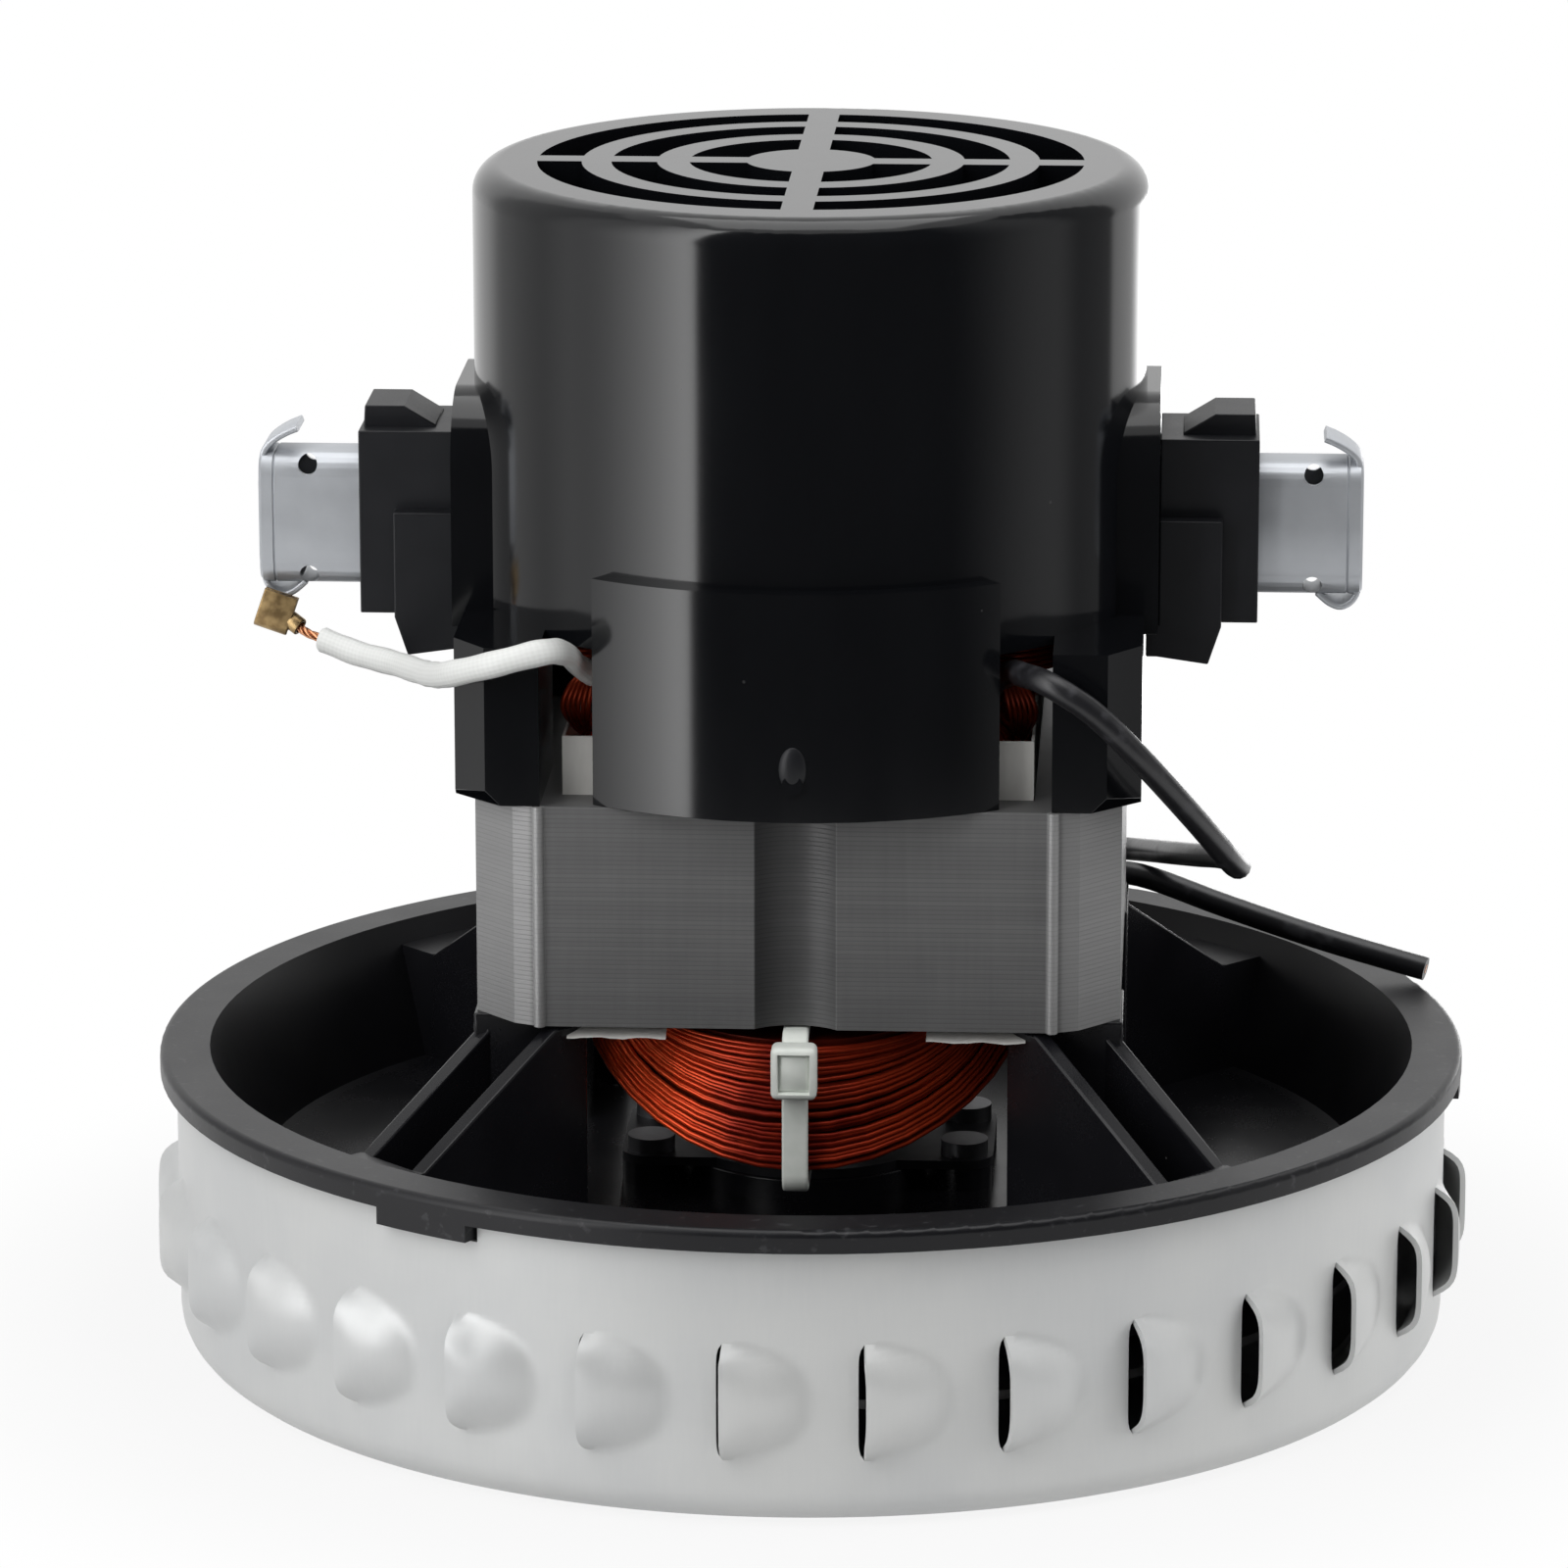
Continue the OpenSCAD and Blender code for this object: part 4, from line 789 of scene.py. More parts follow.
def supply_lead():
    path = smooth_route(LEAD_ROUTE, 6)
    data = bpy.data.curves.new("supply_lead_run", "CURVE")
    data.dimensions = "3D"
    data.bevel_depth = LEAD_D / 2 * MM
    data.bevel_resolution = 5
    data.use_fill_caps = True
    spline = data.splines.new("POLY")
    spline.points.add(len(path) - 1)
    for knot, point in zip(spline.points, path):
        knot.co = (*(point * MM), 1)
    spline.use_smooth = True
    lead = add_piece("supply_lead_run", data, "black_lead", ("supply_lead",))
    strands = []
    tip = path[-1]
    along = (tip - path[-3]).normalized()
    across = square_to(along)
    for k in range(STRANDS_ROUND + 1):
        away = STRAND_AWAY if k < STRANDS_ROUND else 0.0
        middle = beside(tip, across, 2 * math.pi * k / STRANDS_ROUND, away)
        strands.append(tube([middle - along, middle + along * STRAND_PROUD], [STRAND_R] * 2, 8))
    core = add_piece("lead_strands", closed_mesh("lead_strands", strands), "commutator_copper")
    tuple(path[0] * MM)
    route_length(path) * MM


def brush_lead():
    path = smooth_route(SLEEVE_ROUTE, 10)
    radii = [SLEEVE_TALL / 2 * (1 - SLEEVE_RIPPLE * math.sin(i * 0.37) ** 2) for i in range(len(path))]
    radii[0] = SLEEVE_TALL / 2 * SLEEVE_MOUTH
    sides = 24
    points, faces = tube(path, radii, sides, Vector((0, 0, 1)), SLEEVE_FLAT)
    mesh = mesh_from("brush_lead_braid", points, faces)
    chart = mesh.uv_layers.new(name="along")
    runs = [0.0]
    for a, b in zip(path, path[1:]):
        runs.append(runs[-1] + (b - a).length * MM)
    for polygon in mesh.polygons:
        spots = [divmod(mesh.loops[i].vertex_index, sides) for i in polygon.loop_indices]
        at_seam = polygon.loop_total == 4 and any(side == sides - 1 for row, side in spots)
        for i, (row, side) in zip(polygon.loop_indices, spots):
            around = sides if at_seam and side == 0 else side
            chart.data[i].uv = (runs[row], around / sides)
    add_piece("brush_lead_braid", mesh, "white_sleeve", ("brush_lead_sleeve",))


# Fan can: one sheet with pressed louvres, each a half dome that opens along its slit

CAN_R = 70.2
CAN_H = 30.2
CAN_T = 0.6
CAN_CORNER = 3.6
EYE_R = 20.5
EYE_LIP = 3.4
EYE_BEND = 1.3
LOUVRES = 30
LOUVRE_TURN = 7.4
LOUVRE_Z = 13.5
LOUVRE_HALF = 6.3
LOUVRE_RUN = 9.4
LOUVRE_OUT = 2.65
DOME_SQUARE = 2.3
SLIT_SQUARE = 3.2
SQUARE_RUN = 3.6
DOME_FOOT = 0.08
SLIT_GAP = 0.62
SLIT_ENDS = 10
BASE_ROWS = (26, 34, 44, 54, 61)
LOUVRE_ROWS = 20
LOUVRE_STEPS = (0, 0.25, 0.7, 1.3, 2, 2.8, 3.7, 4.6, 5.5, 6.4, 7.3, 8.2, 9, 9.8, 11.2, 12.6, 13.8)
TABS = 3
TAB_TURN = -31.5
TAB_HALF = 6.05
TAB_DEPTH = 2.2


def swell(ahead, z):
    """How far the sheet stands out, ahead millimetres past a slit and at height z; squarer at the slit."""
    rise = (z - LOUVRE_Z) / LOUVRE_HALF
    square = DOME_SQUARE + SLIT_SQUARE * max(1 - ahead / SQUARE_RUN, 0) ** 2
    away = (ahead / LOUVRE_RUN) ** 2 + abs(rise) ** square
    dome = max(1 - away, 0)
    return LOUVRE_OUT * (1 + DOME_FOOT) * dome ** 2 / (dome + DOME_FOOT)


def can_profile():
    """Rows of the outer skin from the eye's lip, under the base and up the wall."""
    rows = [(EYE_R, EYE_LIP), (EYE_R, 2.2)]
    for k in range(5):
        turn = math.radians(90 * k / 4)
        rows.append((EYE_R + EYE_BEND * (1 - math.cos(turn)), EYE_BEND * (1 - math.sin(turn))))
    for r in BASE_ROWS:
        rows.append((r, 0.0))
    for k in range(7):
        turn = math.radians(90 * k / 6)
        rows.append((CAN_R - CAN_CORNER + CAN_CORNER * math.sin(turn), CAN_CORNER * (1 - math.cos(turn))))
    low = LOUVRE_Z - LOUVRE_HALF
    rows.append((CAN_R, 5.5))
    rows.append((CAN_R, low - 0.5))
    for k in range(LOUVRE_ROWS + 1):
        rows.append((CAN_R, low + 2 * LOUVRE_HALF * k / LOUVRE_ROWS))
    for z in (low + 2 * LOUVRE_HALF + 0.5, 22.5, 25.5, CAN_H - TAB_DEPTH, 29.2, CAN_H):
        rows.append((CAN_R, z))
    return rows


def can_columns():
    """Angles round the wall, as (degrees, millimetres past the slit behind it)."""
    pitch = 360 / LOUVRES
    arc = math.radians(1) * CAN_R
    columns = []
    for k in range(LOUVRES):
        for ahead in LOUVRE_STEPS:
            columns.append((LOUVRE_TURN + k * pitch + ahead / arc, ahead))
    half = math.degrees(TAB_HALF / CAN_R)
    for k in range(TABS):
        for side in (-1, 1):
            angle = (TAB_TURN + 360 / TABS * k + side * half - LOUVRE_TURN) % 360 + LOUVRE_TURN
            columns.append((angle, (angle - LOUVRE_TURN) % pitch * arc))
    return sorted(columns)


def fan_can():
    rows = can_profile()
    columns = can_columns()
    points = []
    index = {}
    cut_rows = [i for i, (r, z) in enumerate(rows) if r == CAN_R and abs(z - LOUVRE_Z) < LOUVRE_HALF - 0.01]
    for j, (angle, ahead) in enumerate(columns):
        turn = math.radians(angle)
        for i, (r, z) in enumerate(rows):
            out = r + (swell(ahead, z) if i in cut_rows else 0)
            index[i, j] = len(points)
            points.append((out * math.sin(turn), -out * math.cos(turn), z))
            if ahead == 0 and i in cut_rows:
                index[i, j, "behind"] = len(points)
                gap = SLIT_GAP * (1 - abs((z - LOUVRE_Z) / LOUVRE_HALF) ** SLIT_ENDS)
                back = turn - gap / CAN_R
                points.append((r * math.sin(back), -r * math.cos(back), z))
    half = math.degrees(TAB_HALF / CAN_R) - 0.01
    notch_row = max(i for i, (r, z) in enumerate(rows) if z <= CAN_H - TAB_DEPTH + 0.001)
    faces = []
    for j in range(len(columns)):
        n = (j + 1) % len(columns)
        end = columns[n][0] + (360 if n == 0 else 0)
        middle = (columns[j][0] + end) / 2
        from_tab = (middle - TAB_TURN + 180 / TABS) % (360 / TABS) - 180 / TABS
        for i in range(len(rows) - 1):
            if i >= notch_row and abs(from_tab) < half:
                continue
            low = index.get((i, n, "behind"), index[i, n])
            high = index.get((i + 1, n, "behind"), index[i + 1, n])
            faces.append((index[i, j], low, high, index[i + 1, j]))
    mesh = mesh_from("fan_can_pressed", points, faces, 50)
    can = add_piece("fan_can_pressed", mesh, "can_sheet", ("fan_can",))
    sheet = can.modifiers.new("sheet", "SOLIDIFY")
    sheet.thickness = CAN_T * MM
    sheet.offset = -1
    sheet.use_even_offset = True
    apply_modifiers(can, 50)


# Brush tubes: pressed boxes with a raised band, two holes, a folded flap and a curled lip

TUBE_IN = 13.9
TUBE_OUT = 60
TUBE_Z = 91.1
TUBE_W = 8.8
TUBE_H = 14.6
TUBE_T = 0.7
TUBE_CORNER = 2.3
TUBE_BAND = 0.24
BAND_EDGE = 4.7
BAND_TOP = 4.1
TUBE_RUN = ((TUBE_IN, 0), (58.2, 0), (58.35, 0.14), (58.5, 0), (59.7, 0), (TUBE_OUT, 0.4))
FLAP_WIDE = 6.2
FLAP_RUN = ((59.4, 96.2), (59.6, 97.8), (59.2, 98.9), (58.2, 99.8), (57, 100.5), (55.8, 101))
LIP_WIDE = 5.6
LIP_RUN = ((59.4, 86.2), (59.6, 84.5), (59, 83.1), (57.8, 82.4), (56.5, 82.8), (55.2, 83.9))
HOLE_X = 54.6
HOLE_R = 1.05
HOLE_RISE = 6.1
HOLE_REACH = 8


def tube_outline(inset, step):
    """Points round the tube, with a band that stands out by step along its front and back."""
    corners = rounded_outline(TUBE_W - 2 * step - 2 * inset, TUBE_H - 2 * inset, TUBE_CORNER - inset, 5)
    half = len(corners) // 2
    side = TUBE_W / 2 - step - inset
    band = [(side, -BAND_EDGE), (side + step, -BAND_TOP), (side + step, BAND_TOP), (side, BAND_EDGE)]
    front = [(-y, -z) for y, z in band]
    return corners[:half] + front + corners[half:] + band


def pressed_tube(name, node, side):
    rings = [(TUBE_OUT - TUBE_T, TUBE_T, 0), (TUBE_IN, TUBE_T, 0)]
    rings.extend((x, inset, TUBE_BAND) for x, inset in TUBE_RUN)
    points = []
    for x, inset, step in rings:
        points.extend((side * x, y, TUBE_Z + z) for y, z in tube_outline(inset, step))
    shapes = [(points, skin(len(rings), len(tube_outline(0, 0))))]
    tube_piece = add_piece(name, closed_mesh(name, shapes, 35), "plated_steel", (node,))
    for rise in (-HOLE_RISE, HOLE_RISE):
        ends = [Vector((side * HOLE_X, y, TUBE_Z + rise)) for y in (-HOLE_REACH, HOLE_REACH)]
        cutter = put_in_scene("hole", closed_mesh("hole", [tube(ends, [HOLE_R] * 2, 24)]))
        hole = tube_piece.modifiers.new("hole", "BOOLEAN")
        hole.operation = "DIFFERENCE"
        hole.object = cutter
        apply_modifiers(tube_piece, 35)
        bpy.data.objects.remove(cutter)
    shapes = []
    for run, width in ((FLAP_RUN, FLAP_WIDE), (LIP_RUN, LIP_WIDE)):
        path = smooth_route([(side * x, 0, z) for x, z in run], 4)
        shapes.append(strip(path, Vector((0, 1, 0)), width, TUBE_T))
    add_piece(name + "_flaps", closed_mesh(name + "_flaps", shapes, 50), "plated_steel")


# Brush springs: close wound at both ends, over the length of each spring's solid

SPRING_WIRE = 0.9
SPRING_TURNS = 6
CLOSE_ENDS = 0.55
OPEN_END = 0.05


def brush_spring(name, node, side):
    low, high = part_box(node)
    inner = min(abs(low[0]), abs(high[0])) / MM
    outer = max(abs(low[0]), abs(high[0])) / MM
    radius = (high[1] - low[1]) / MM / 2 - SPRING_WIRE / 2
    start = inner + SPRING_WIRE / 2
    run = outer - inner - SPRING_WIRE
    steps = 24
    count = SPRING_TURNS * steps
    path = []
    for i in range(count + 1):
        t = i / count
        along = t - CLOSE_ENDS * math.sin(4 * math.pi * t) / (4 * math.pi)
        along += OPEN_END * math.sin(2 * math.pi * t)
        turn = 2 * math.pi * i / steps
        y = radius * math.cos(turn)
        path.append(Vector((side * (start + run * along), y, TUBE_Z + radius * math.sin(turn))))
    shape = tube(path, [SPRING_WIRE / 2] * len(path), 8, Vector((1, 0, 0)))
    spring = add_piece(name, closed_mesh(name, [shape], 60), "bright_steel", (node,))
    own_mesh(spring)


# Terminal clip: brass folded under the tube's lip, crimped on the strands of the brush lead

CLIP_AT = Vector((-57.7, -4.05, 82.6))
CLIP_TILT = 19
CLIP_WIDE = 3.8
CLIP_FOLD = 1.1
CLIP_REACH = 2.7
CLIP_THICK = 0.45
BARREL_R = 0.85
BARREL_LONG = 1.7
BARREL_THICK = 0.32
TWIST_STRANDS = 5
TWIST_R = 0.32
TWIST_WIRE_R = 0.2
STRAND_ROUTE = [(-57.9, -4.1, 80.6), (-56.2, -4.6, 79.7), (-54.8, -5.3, 78.8), (-52.6, -5.9, 78.1)]


def terminal_clip():
    tilt = math.radians(CLIP_TILT)
    down = Vector((-math.sin(tilt), 0, -math.cos(tilt)))
    across = Vector((math.cos(tilt), 0, -math.sin(tilt)))
    depth = Vector((0, 1, 0))
    path = [CLIP_AT - depth * CLIP_FOLD + down * s for s in (-0.5, 0.4, 1.4, CLIP_REACH)]
    for k in range(1, 10):
        turn = math.pi * k / 10
        bend = down * math.sin(turn) - depth * math.cos(turn)
        path.append(CLIP_AT + down * CLIP_REACH + bend * CLIP_FOLD)
    path.extend(CLIP_AT + depth * CLIP_FOLD + down * s for s in (CLIP_REACH, 1.4, 0.4, -0.1))
    shapes = [strip(path, across, CLIP_WIDE, CLIP_THICK)]
    wire = smooth_route(STRAND_ROUTE, 8)
    axis = (wire[12] - wire[6]).normalized()
    round_wire = square_to(axis)
    sides = 16
    barrel = [beside(wire[8], round_wire, 2 * math.pi * k / sides, BARREL_R) for k in range(sides)]
    shapes.append(strip(barrel, axis, BARREL_LONG, BARREL_THICK, True))
    mesh = closed_mesh("terminal_clip_folded", shapes, 50)
    add_piece("terminal_clip_folded", mesh, "brass_clip", ("left_terminal_clip",))
    strands = []
    for k in range(TWIST_STRANDS):
        path = []
        for i, centre in enumerate(wire):
            turn = 2 * math.pi * k / TWIST_STRANDS + 0.35 * i
            path.append(beside(centre, round_wire, turn, TWIST_R))
        strands.append(tube(path, [TWIST_WIRE_R] * len(path), 6))
    mesh = closed_mesh("brush_lead_strands", strands, 80)
    add_piece("brush_lead_strands", mesh, "brass_clip", material=FINISHES["commutator_copper"])


# Cable ties round the lower end turns

TIE_FRONT = 33.83
TIE_BACK = 20.85
TIE_LOW = 24.78
TIE_HIGH = 41.85
TIE_WIDE = 2.8
TIE_THICK = 0.9
TIE_BEND = 2
HEAD_SIZE = (4.9, 3.2, 5.8)
HEAD_AT = (0, -35.65, 38.8)
HEAD_ROUND = 0.7
WINDOW_FRAME = 1.0
WINDOW_SLOPE = 0.2
WINDOW_DEEP = 0.8
PAWL_GAP = 0.5
PAWL_RISE = 0.35


def tie_loop():
    path = []
    corners = ((-TIE_BACK, TIE_LOW), (-TIE_BACK, TIE_HIGH), (-TIE_FRONT, TIE_HIGH), (-TIE_FRONT, TIE_LOW))
    signs = ((-1, 1), (-1, -1), (1, -1), (1, 1))
    starts = (-90, 0, 90, 180)
    for (y, z), (in_y, in_z), start in zip(corners, signs, starts):
        for k in range(6):
            turn = math.radians(start + 90 * k / 5)
            centre = Vector((0, y + in_y * TIE_BEND, z + in_z * TIE_BEND))
            path.append(centre + Vector((0, math.cos(turn), math.sin(turn))) * TIE_BEND)
    return path


def tie_head():
    """A soft block with a window in its front and the pawl inside it."""
    shape = bmesh.new()
    bmesh.ops.create_cube(shape, size=1)
    bmesh.ops.scale(shape, vec=HEAD_SIZE, verts=shape.verts)
    edges = list(shape.edges)
    front = min(shape.faces, key=lambda face: face.calc_center_median().y)
    bmesh.ops.inset_region(shape, faces=[front], thickness=WINDOW_FRAME)
    bmesh.ops.inset_region(shape, faces=[front], thickness=WINDOW_SLOPE, depth=-WINDOW_DEEP)
    bmesh.ops.inset_region(shape, faces=[front], thickness=PAWL_GAP, depth=PAWL_RISE)
    bmesh.ops.bevel(shape, geom=edges, offset=HEAD_ROUND, segments=4, profile=0.5, affect="EDGES")
    shape.verts.index_update()
    points = [vert.co + Vector(HEAD_AT) for vert in shape.verts]
    faces = [tuple(vert.index for vert in face.verts) for face in shape.faces]
    shape.free()
    return points, faces


def cable_tie(name, node, spin):
    points, faces = join_shapes([strip(tie_loop(), Vector((1, 0, 0)), TIE_WIDE, TIE_THICK, True), tie_head()])
    mesh = closed_mesh(name, [([spun(point, spin) for point in points], faces)], 45)
    add_piece(name, mesh, "white_nylon", (node,))


# Slot paper cuffs below the stack, the coils' lead wires under the cover and the panels' gate marks

CUFF_FROM = 13.9
CUFF_LONG = 10.6
CUFF_SAG = 0.1
CUFF_UNEVEN = 0.04
CUFF_ROWS = ((-27.75, 42.3, 0), (-30.1, 41.9, 0.3), (-32.4, 41.2, 1))
PAPER_T = 0.18
RUN_WIRES = 11
RUN_PITCH = 0.29
RUN_STAGGER = 0.45
RISE_WIRES = 6
MARK_Y = -38.3
MARK_Z = 72.6
MARK_HALF = (1.5, 2.5)
MARK_PROUD = 0.75


def paper_cuffs():
    chance = random.Random(5)
    shapes = []
    for spin in (1, -1):
        for side in (1, -1):
            steps = 14
            points = []
            for k in range(steps + 1):
                x = side * (CUFF_FROM + CUFF_LONG * k / steps)
                sag = CUFF_SAG * math.sin(k * 0.9 + side) + chance.uniform(-CUFF_UNEVEN, CUFF_UNEVEN)
                rows = [(y, z + sag * share) for y, z, share in CUFF_ROWS]
                for y, z in rows:
                    points.append(spun((x, y, z), spin))
                for y, z in reversed(rows):
                    points.append(spun((x, y + PAPER_T, z), spin))
            shapes.append((points, skin(steps + 1, 6)))
    add_piece("slot_paper_cuffs", closed_mesh("slot_paper_cuffs", shapes), "white_paper")


def lead_wire(route, side, spin):
    path = smooth_route([spun((side * x, y, z), spin) for x, y, z in route], 6)
    return tube(path, [COIL_WIRE / 2] * len(path), 6)


def coil_leads():
    """Coil wires that run under the cover's edge to the leads in the side gaps."""
    shapes = []
    for spin in (1, -1):
        for side in (1, -1):
            for k in range(RUN_WIRES):
                lift = RUN_PITCH * (k - RUN_WIRES // 2)
                back = RUN_STAGGER * (k % 2)
                route = [(15, -19.5 + back, 79.3 + lift), (20.4, -23.4 + back, 81.1 + lift),
                         (24.4, -23.6 + back, 81.45 + lift), (28.2, -19 + back, 81.4 + lift),
                         (29.4, -10, 80.6 + lift), (27.6, 0, 77.5 + lift)]
                shapes.append(lead_wire(route, side, spin))
            for k in range(RISE_WIRES):
                route = [(22.8, -13, 69 + 0.4 * k), (24.2 - 0.3 * k, -21, 72.5), (25.2 - 0.55 * k, -25.6, 76),
                         (23.8 - 0.4 * k, -26, 79), (21, -24, 79.4)]
                shapes.append(lead_wire(route, side, spin))
    mesh = closed_mesh("coil_lead_wires", shapes, 80)
    # painted shade: these wires take the darkened copy of the enamel wire
    add_piece("coil_lead_wires", mesh, "red_enamel_wire", material=SHADED_WIRE)


def panel_marks():
    """The moulding's small raised gate mark low on each panel."""
    shapes = []
    rings = 7
    sides = 24
    for spin in (1, -1):
        points = []
        for i in range(1, rings + 1):
            tip = math.pi / 2 * i / rings
            for k in range(sides):
                turn = 2 * math.pi * k / sides
                x = MARK_HALF[0] * math.sin(tip) * math.cos(turn)
                z = MARK_Z + MARK_HALF[1] * math.sin(tip) * math.sin(turn)
                points.append(spun((x, MARK_Y - MARK_PROUD * math.cos(tip), z), spin))
        shapes.append((points, skin(rings, sides)))
    add_piece("panel_gate_marks", closed_mesh("panel_gate_marks", shapes), "housing_black")


# Field coils: one outer layer of many turns over a second layer and a plain core

COIL_LOW = 41.8
COIL_HIGH = 67.6
LAYER_BEND = 0.56
LEG_LINE = ((14.9, 26.3), (23.95, 17.5), (23.95, 7.6))
MID_LINE = ((2, 32.6), (15, 32.6), (15.8, 22.5))
CORE_LEG = ((14.3, 18.4), (22.7, 8.2), (22.7, 16.8), (14.3, 24.8))
CORE_MID = ((0.9, 22.0), (14.4, 22.9), (13.7, 31.3), (0.9, 31.3))
COIL_WIRE = 0.56
COIL_TURNS = 38
UNDER_TURNS = 35
TURN_STEPS = 44
TURN_DRIFTS = 7
TURN_SLIP = 0.62
TURN_SINK = 0.16
TURN_BOW = 0.41
LAYER_DEEP = 0.55
LEG_IN = (0.5, 0.3)
MID_IN = 0.8


def bent(line, s):
    if s < LAYER_BEND:
        t = s / LAYER_BEND
        a, b = line[0], line[1]
    else:
        t = (s - LAYER_BEND) / (1 - LAYER_BEND)
        a, b = line[1], line[2]
    return a[0] + (b[0] - a[0]) * t, a[1] + (b[1] - a[1]) * t


def turn_point(leg, mid, t):
    """A place on one turn, t from 0 to 1: under the pole, up a slot, over the pole, down a slot."""
    half = t % 0.5
    side = 1 if t % 1 < 0.5 else -1
    if half < TURN_BOW:
        angle = math.pi * half / TURN_BOW
        lift = math.sin(angle)
        x = side * leg[0] * math.cos(angle)
        y = -(leg[1] + (mid[1] - leg[1]) * lift ** 2)
        z = COIL_LOW - mid[0] * lift if side > 0 else COIL_HIGH + mid[0] * lift
    else:
        along = (half - TURN_BOW) / (0.5 - TURN_BOW)
        x = -side * leg[0]
        y = -leg[1]
        z = COIL_LOW + (COIL_HIGH - COIL_LOW) * (along if side > 0 else 1 - along)
    return Vector((x, y, z))


def coil_layer(depth, turns, seed):
    """One unbroken wire wound along a layer, each turn lying a little unevenly."""
    chance = random.Random(seed)
    drift = [(chance.uniform(-1, 1), chance.uniform(-1, 1)) for i in range(turns * TURN_DRIFTS + 2)]
    path = []
    for i in range(turns * TURN_STEPS + 1):
        done = i / TURN_STEPS
        knot = done * TURN_DRIFTS
        k = int(knot)
        ease = (1 - math.cos(math.pi * (knot - k))) / 2
        slip = drift[k][0] + (drift[k + 1][0] - drift[k][0]) * ease
        lift = drift[k][1] + (drift[k + 1][1] - drift[k][1]) * ease
        s = min(max((done + TURN_SLIP * slip) / turns, 0), 1)
        leg = bent(LEG_LINE, s)
        mid = bent(MID_LINE, s)
        sink = depth + TURN_SINK * (1 - lift)
        leg = (leg[0] - LEG_IN[0] * sink, leg[1] - LEG_IN[1] * sink)
        mid = (mid[0] - sink * MID_IN, mid[1] - sink * MID_IN)
        path.append(turn_point(leg, mid, done))
    return path


def coil_core():
    """A plain ring that fills the coil behind its two layers."""
    points = []
    for i in range(TURN_STEPS):
        for leg, mid in zip(CORE_LEG, CORE_MID):
            points.append(turn_point(leg, mid, i / TURN_STEPS))
    return points, skin(TURN_STEPS, len(CORE_LEG), True)


def field_coil(name, node, spin, seed):
    shapes = []
    for depth, turns in ((0.0, COIL_TURNS), (LAYER_DEEP, UNDER_TURNS)):
        path = coil_layer(depth, turns, seed + turns)
        shapes.append(tube(path, [COIL_WIRE / 2] * len(path), 6))
    points, faces = join_shapes(shapes)
    mesh = mesh_from(name, [spun(point, spin) for point in points], faces, 80)
    add_piece(name, mesh, "red_enamel_wire", (node,))
    points, faces = coil_core()
    mesh = mesh_from(name + "_inner", [spun(point, spin) for point in points], faces, 30)
    # painted shade: the core takes the darkened copy of the enamel wire
    add_piece(name + "_inner", mesh, "red_enamel_wire", material=SHADED_WIRE)


# Stage: white surround, floor, soft boxes, a graded card round the part and a bright one over it

AMBIENT = 0.26
FLOOR_R = 260
FLOOR_Z = -0.25
FLOOR_PAINT = (0.55, 0.55, 0.55, 1)
FLOOR_GLOW = 0.88
SHADOW_FADES = (0.07, 0.12)
WHITE = (1, 1, 1, 1)
CARD_R = 600
CARD_LOW = -450
CARD_HIGH = 1000
TOP_CARD = ((-420, -380, 1320), (420, -380, 1320), (420, 700, 1320), (-420, 700, 1320))
LAMP_AIM = 0.07
# Each lamp's swing, reach, height, width, height of its face and glow
LAMPS = {
    "key_edge": (-42, 0.6, 0.45, 0.3, 0.6, 3.8),
    "key_side": (-72, 0.55, 0.45, 0.35, 0.7, 1.3),
    "top_fill": (-10, 0.75, 0.75, 0.5, 0.5, 0.6),
    "right_fill": (84, 0.6, 0.3, 0.35, 0.6, 3.0),
    "right_top": (38, 0.42, 0.95, 0.35, 0.35, 5.0),
}


def set_world():
    world = bpy.data.worlds.new("studio")
    world.use_nodes = True
    bpy.context.scene.world = world
    graph = Graph(world.node_tree)
    strength = AMBIENT + (1 - AMBIENT) * graph.seen_by()
    sky = world.node_tree.nodes["Background"]
    sky.inputs["Color"].default_value = WHITE
    graph.join(sky.inputs["Strength"], strength)


def set_floor():
    steps = 96
    edge = []
    for k in range(steps):
        turn = 2 * math.pi * k / steps
        edge.append((FLOOR_R * math.cos(turn), FLOOR_R * math.sin(turn), FLOOR_Z))
    mesh = mesh_from("floor", edge, [tuple(range(steps))])
    floor = put_in_scene("floor", mesh)
    material = bpy.data.materials.new("floor_white")
    material.use_nodes = True
    graph = Graph(material.node_tree)
    material.node_tree.nodes.remove(material.node_tree.nodes["Principled BSDF"])
    paint = graph.add("ShaderNodeBsdfDiffuse", values={"Color": FLOOR_PAINT})
    shown = graph.seen_by()
    glow = graph.add("ShaderNodeEmission", values={"Color": WHITE, "Strength": 1.0})
    place = graph.add("ShaderNodeTexCoord", output="Object")
    away = graph.add("ShaderNodeVectorMath", {"operation": "LENGTH"}, {0: place}, "Value")
    share = FLOOR_GLOW + (1 - FLOOR_GLOW) * away.between(*SHADOW_FADES)
    both = graph.add("ShaderNodeMixShader", values={0: shown * share, 1: paint, 2: glow})
    graph.join(material.node_tree.nodes["Material Output"].inputs["Surface"], both)
    mesh.materials.append(material)


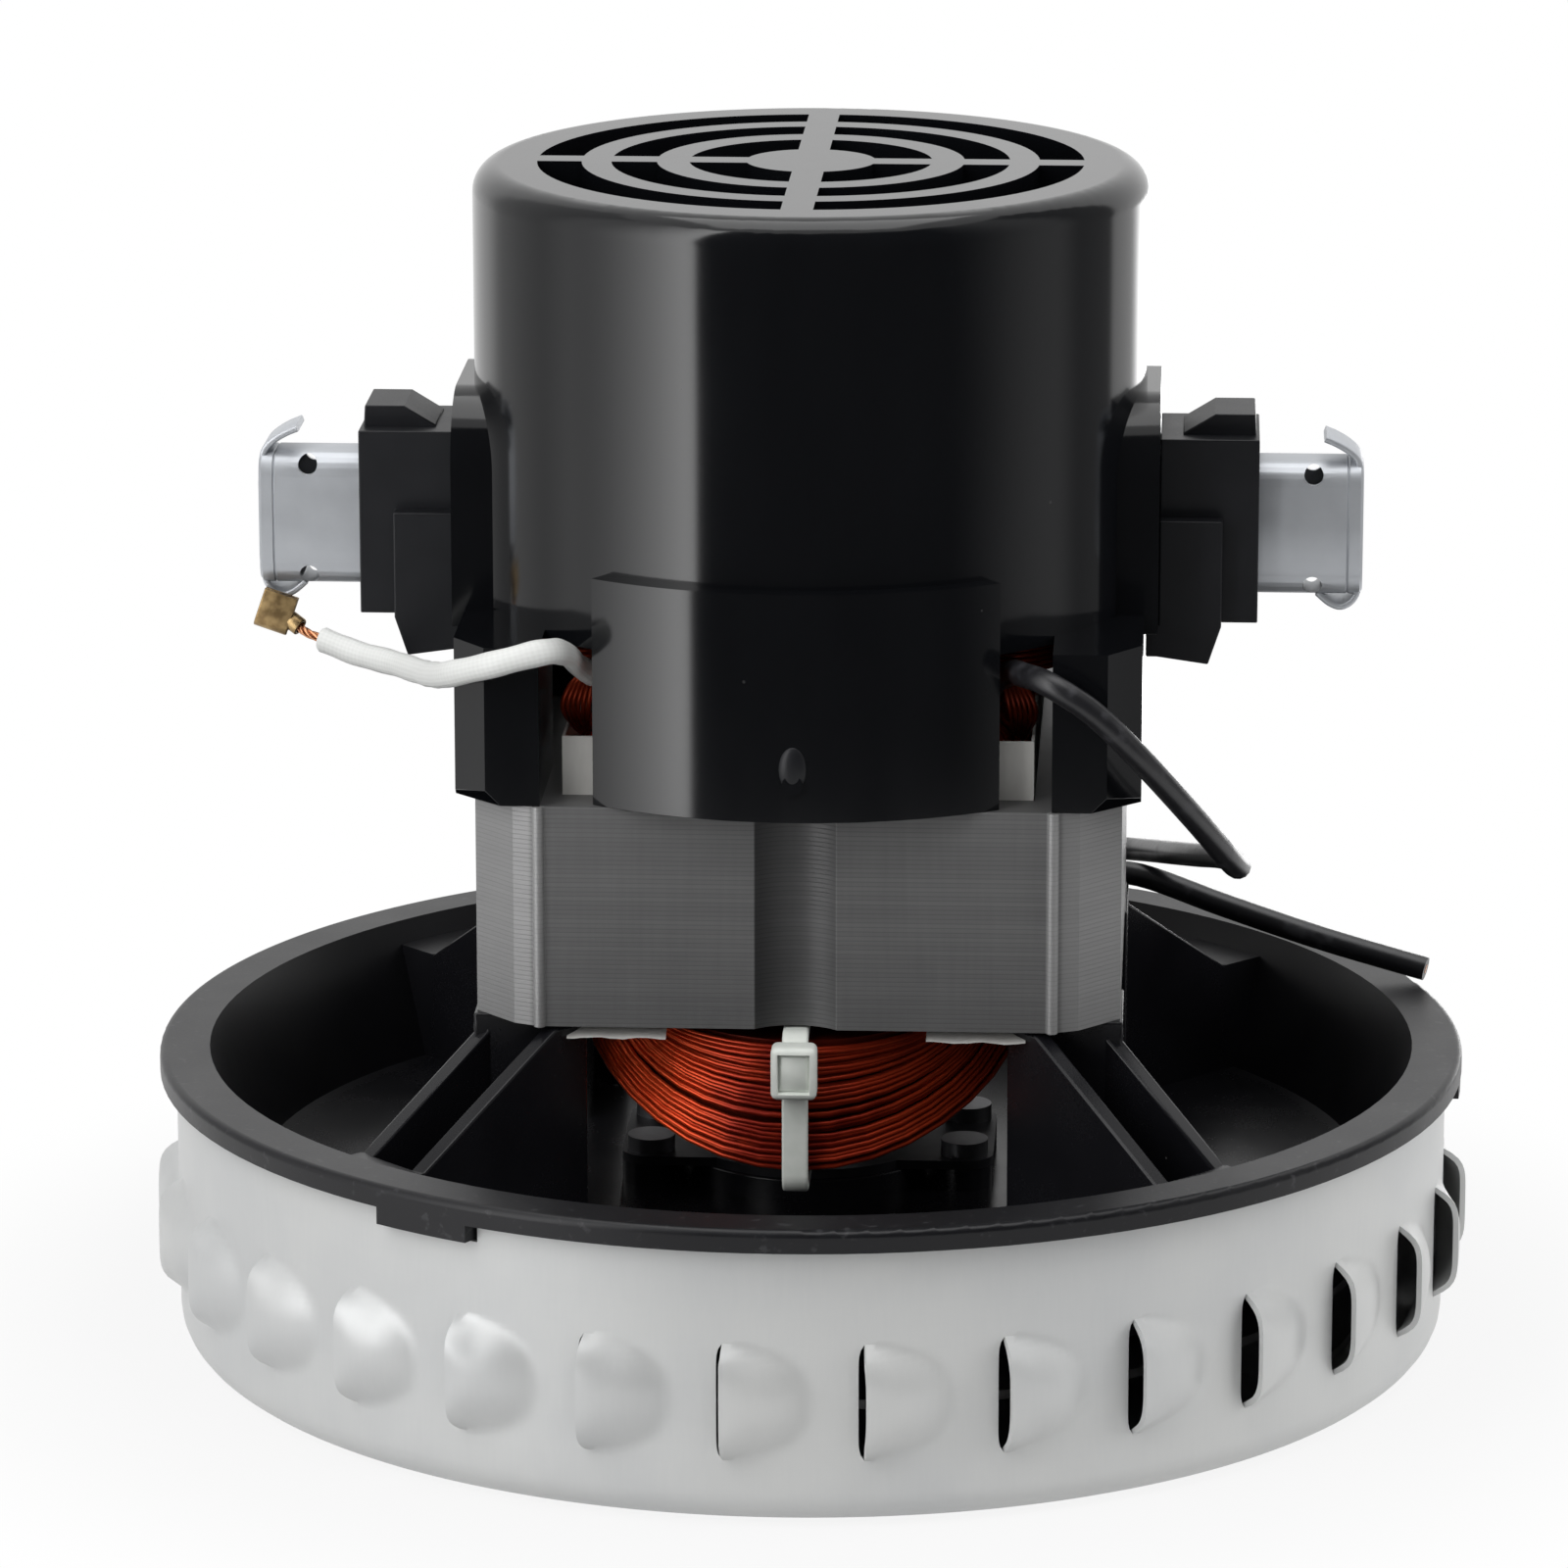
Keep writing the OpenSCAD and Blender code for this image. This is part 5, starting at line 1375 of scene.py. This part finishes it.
def graded_card():
    """Dark before the part, with a bright edge on the left that fades outward and a dim glow on the right,
    brighter low down behind it."""
    finish = Finish("graded_card", (0, 0, 0), 1.0, fixed={"Specular IOR Level": 0, "Emission Strength": 1})
    back = finish.axis("Y") * -1
    swing = finish.axis("X").math("ARCTAN2", finish.axis("X"), back) * (180 / math.pi) - CAMERA_SWING
    near_edge = swing.between(-84, -42, False)
    left = 0.95 - 0.38 * swing.between(-140, -126) + 0.43 * swing.between(-103, -84) + 4.2 * near_edge ** 2
    near_right = 0.45 * swing.between(45, 84) - 0.3 * swing.between(88, 102)
    low_glow = 4.0 * swing.between(137, 151) * (1 - finish.axis("Z").between(0.0, 0.06))
    right = 0.05 + near_right + 0.8 * swing.between(118.5, 123) + low_glow
    edge = swing.between(-38.6, -37.4)
    finish.put("Emission Color", left * (1 - edge) + right * edge)
    return finish.material


def gloss_card(name, points, faces, material):
    """A card that only gloss shows."""
    mesh = mesh_from(name, points, faces)
    card = put_in_scene(name, mesh)
    mesh.materials.append(material)
    card.visible_camera = False
    card.visible_diffuse = False
    card.visible_shadow = False
    card.visible_transmission = False


def set_cards():
    """A card bent round the part, and a bright one over it."""
    steps = 72
    points = []
    for k in range(steps + 1):
        for height in (CARD_LOW, CARD_HIGH):
            points.append(facing(360 * k / steps, CARD_R, height))
    faces = [(2 * k, 2 * k + 2, 2 * k + 3, 2 * k + 1) for k in range(steps)]
    gloss_card("graded_card", points, faces, graded_card())
    glow = Finish("top_card", (0, 0, 0), 1.0, fixed={"Specular IOR Level": 0, "Emission Strength": 3})
    glow.put("Emission Color", WHITE)
    gloss_card("top_card", TOP_CARD, [(0, 1, 2, 3)], glow.material)


def soft_box(name, swing, reach, height, wide, tall, glow):
    """A soft lamp; the card stands for it in gloss."""
    lamp = bpy.data.lights.new(name, "AREA")
    lamp.shape = "RECTANGLE"
    lamp.size = wide
    lamp.size_y = tall
    lamp.energy = glow * math.pi * wide * tall
    box = put_in_scene(name, lamp)
    box.location = facing(swing, reach, height)
    away = box.location - Vector((0, 0, LAMP_AIM))
    box.rotation_euler = away.to_track_quat("Z", "Y").to_euler()
    box.visible_camera = False
    box.visible_glossy = False


def set_stage():
    set_world()
    set_floor()
    set_cards()
    for name, place in LAMPS.items():
        soft_box(name, *place)


# Build

HANDS = (("left", -1), ("right", 1))

set_camera()
brush_lead()
set_stage()
supply_lead()
fan_can()
for hand, side in HANDS:
    pressed_tube(hand + "_tube_pressed", hand + "_brush_tube", side)
for hand, side in HANDS:
    brush_spring(hand + "_spring_wound", hand + "_brush_spring", side)
terminal_clip()
cable_tie("front_tie_looped", "front_cable_tie", 1)
cable_tie("rear_tie_looped", "rear_cable_tie", -1)
paper_cuffs()
coil_leads()
panel_marks()
field_coil("front_coil_wires", "front_field_coil", 1, 11)
field_coil("rear_coil_wires", "rear_field_coil", -1, 29)
eased("motor_cover", 0.35, "cover_black", below=DRUM_LOW)
for hand, side in HANDS:
    eased(hand + "_brush_housing", 0.3, "housing_black")
eased("fan_bracket", 0.3, "bracket_black", 45, inside=62, shortest=1.5)

for name, node in nodes.items():
    slot = node.data.materials[0].name
    node.data.materials[0] = OWN_FINISHES.get(name) or FINISHES[slot]

bpy.context.scene.view_settings.view_transform = "Standard"
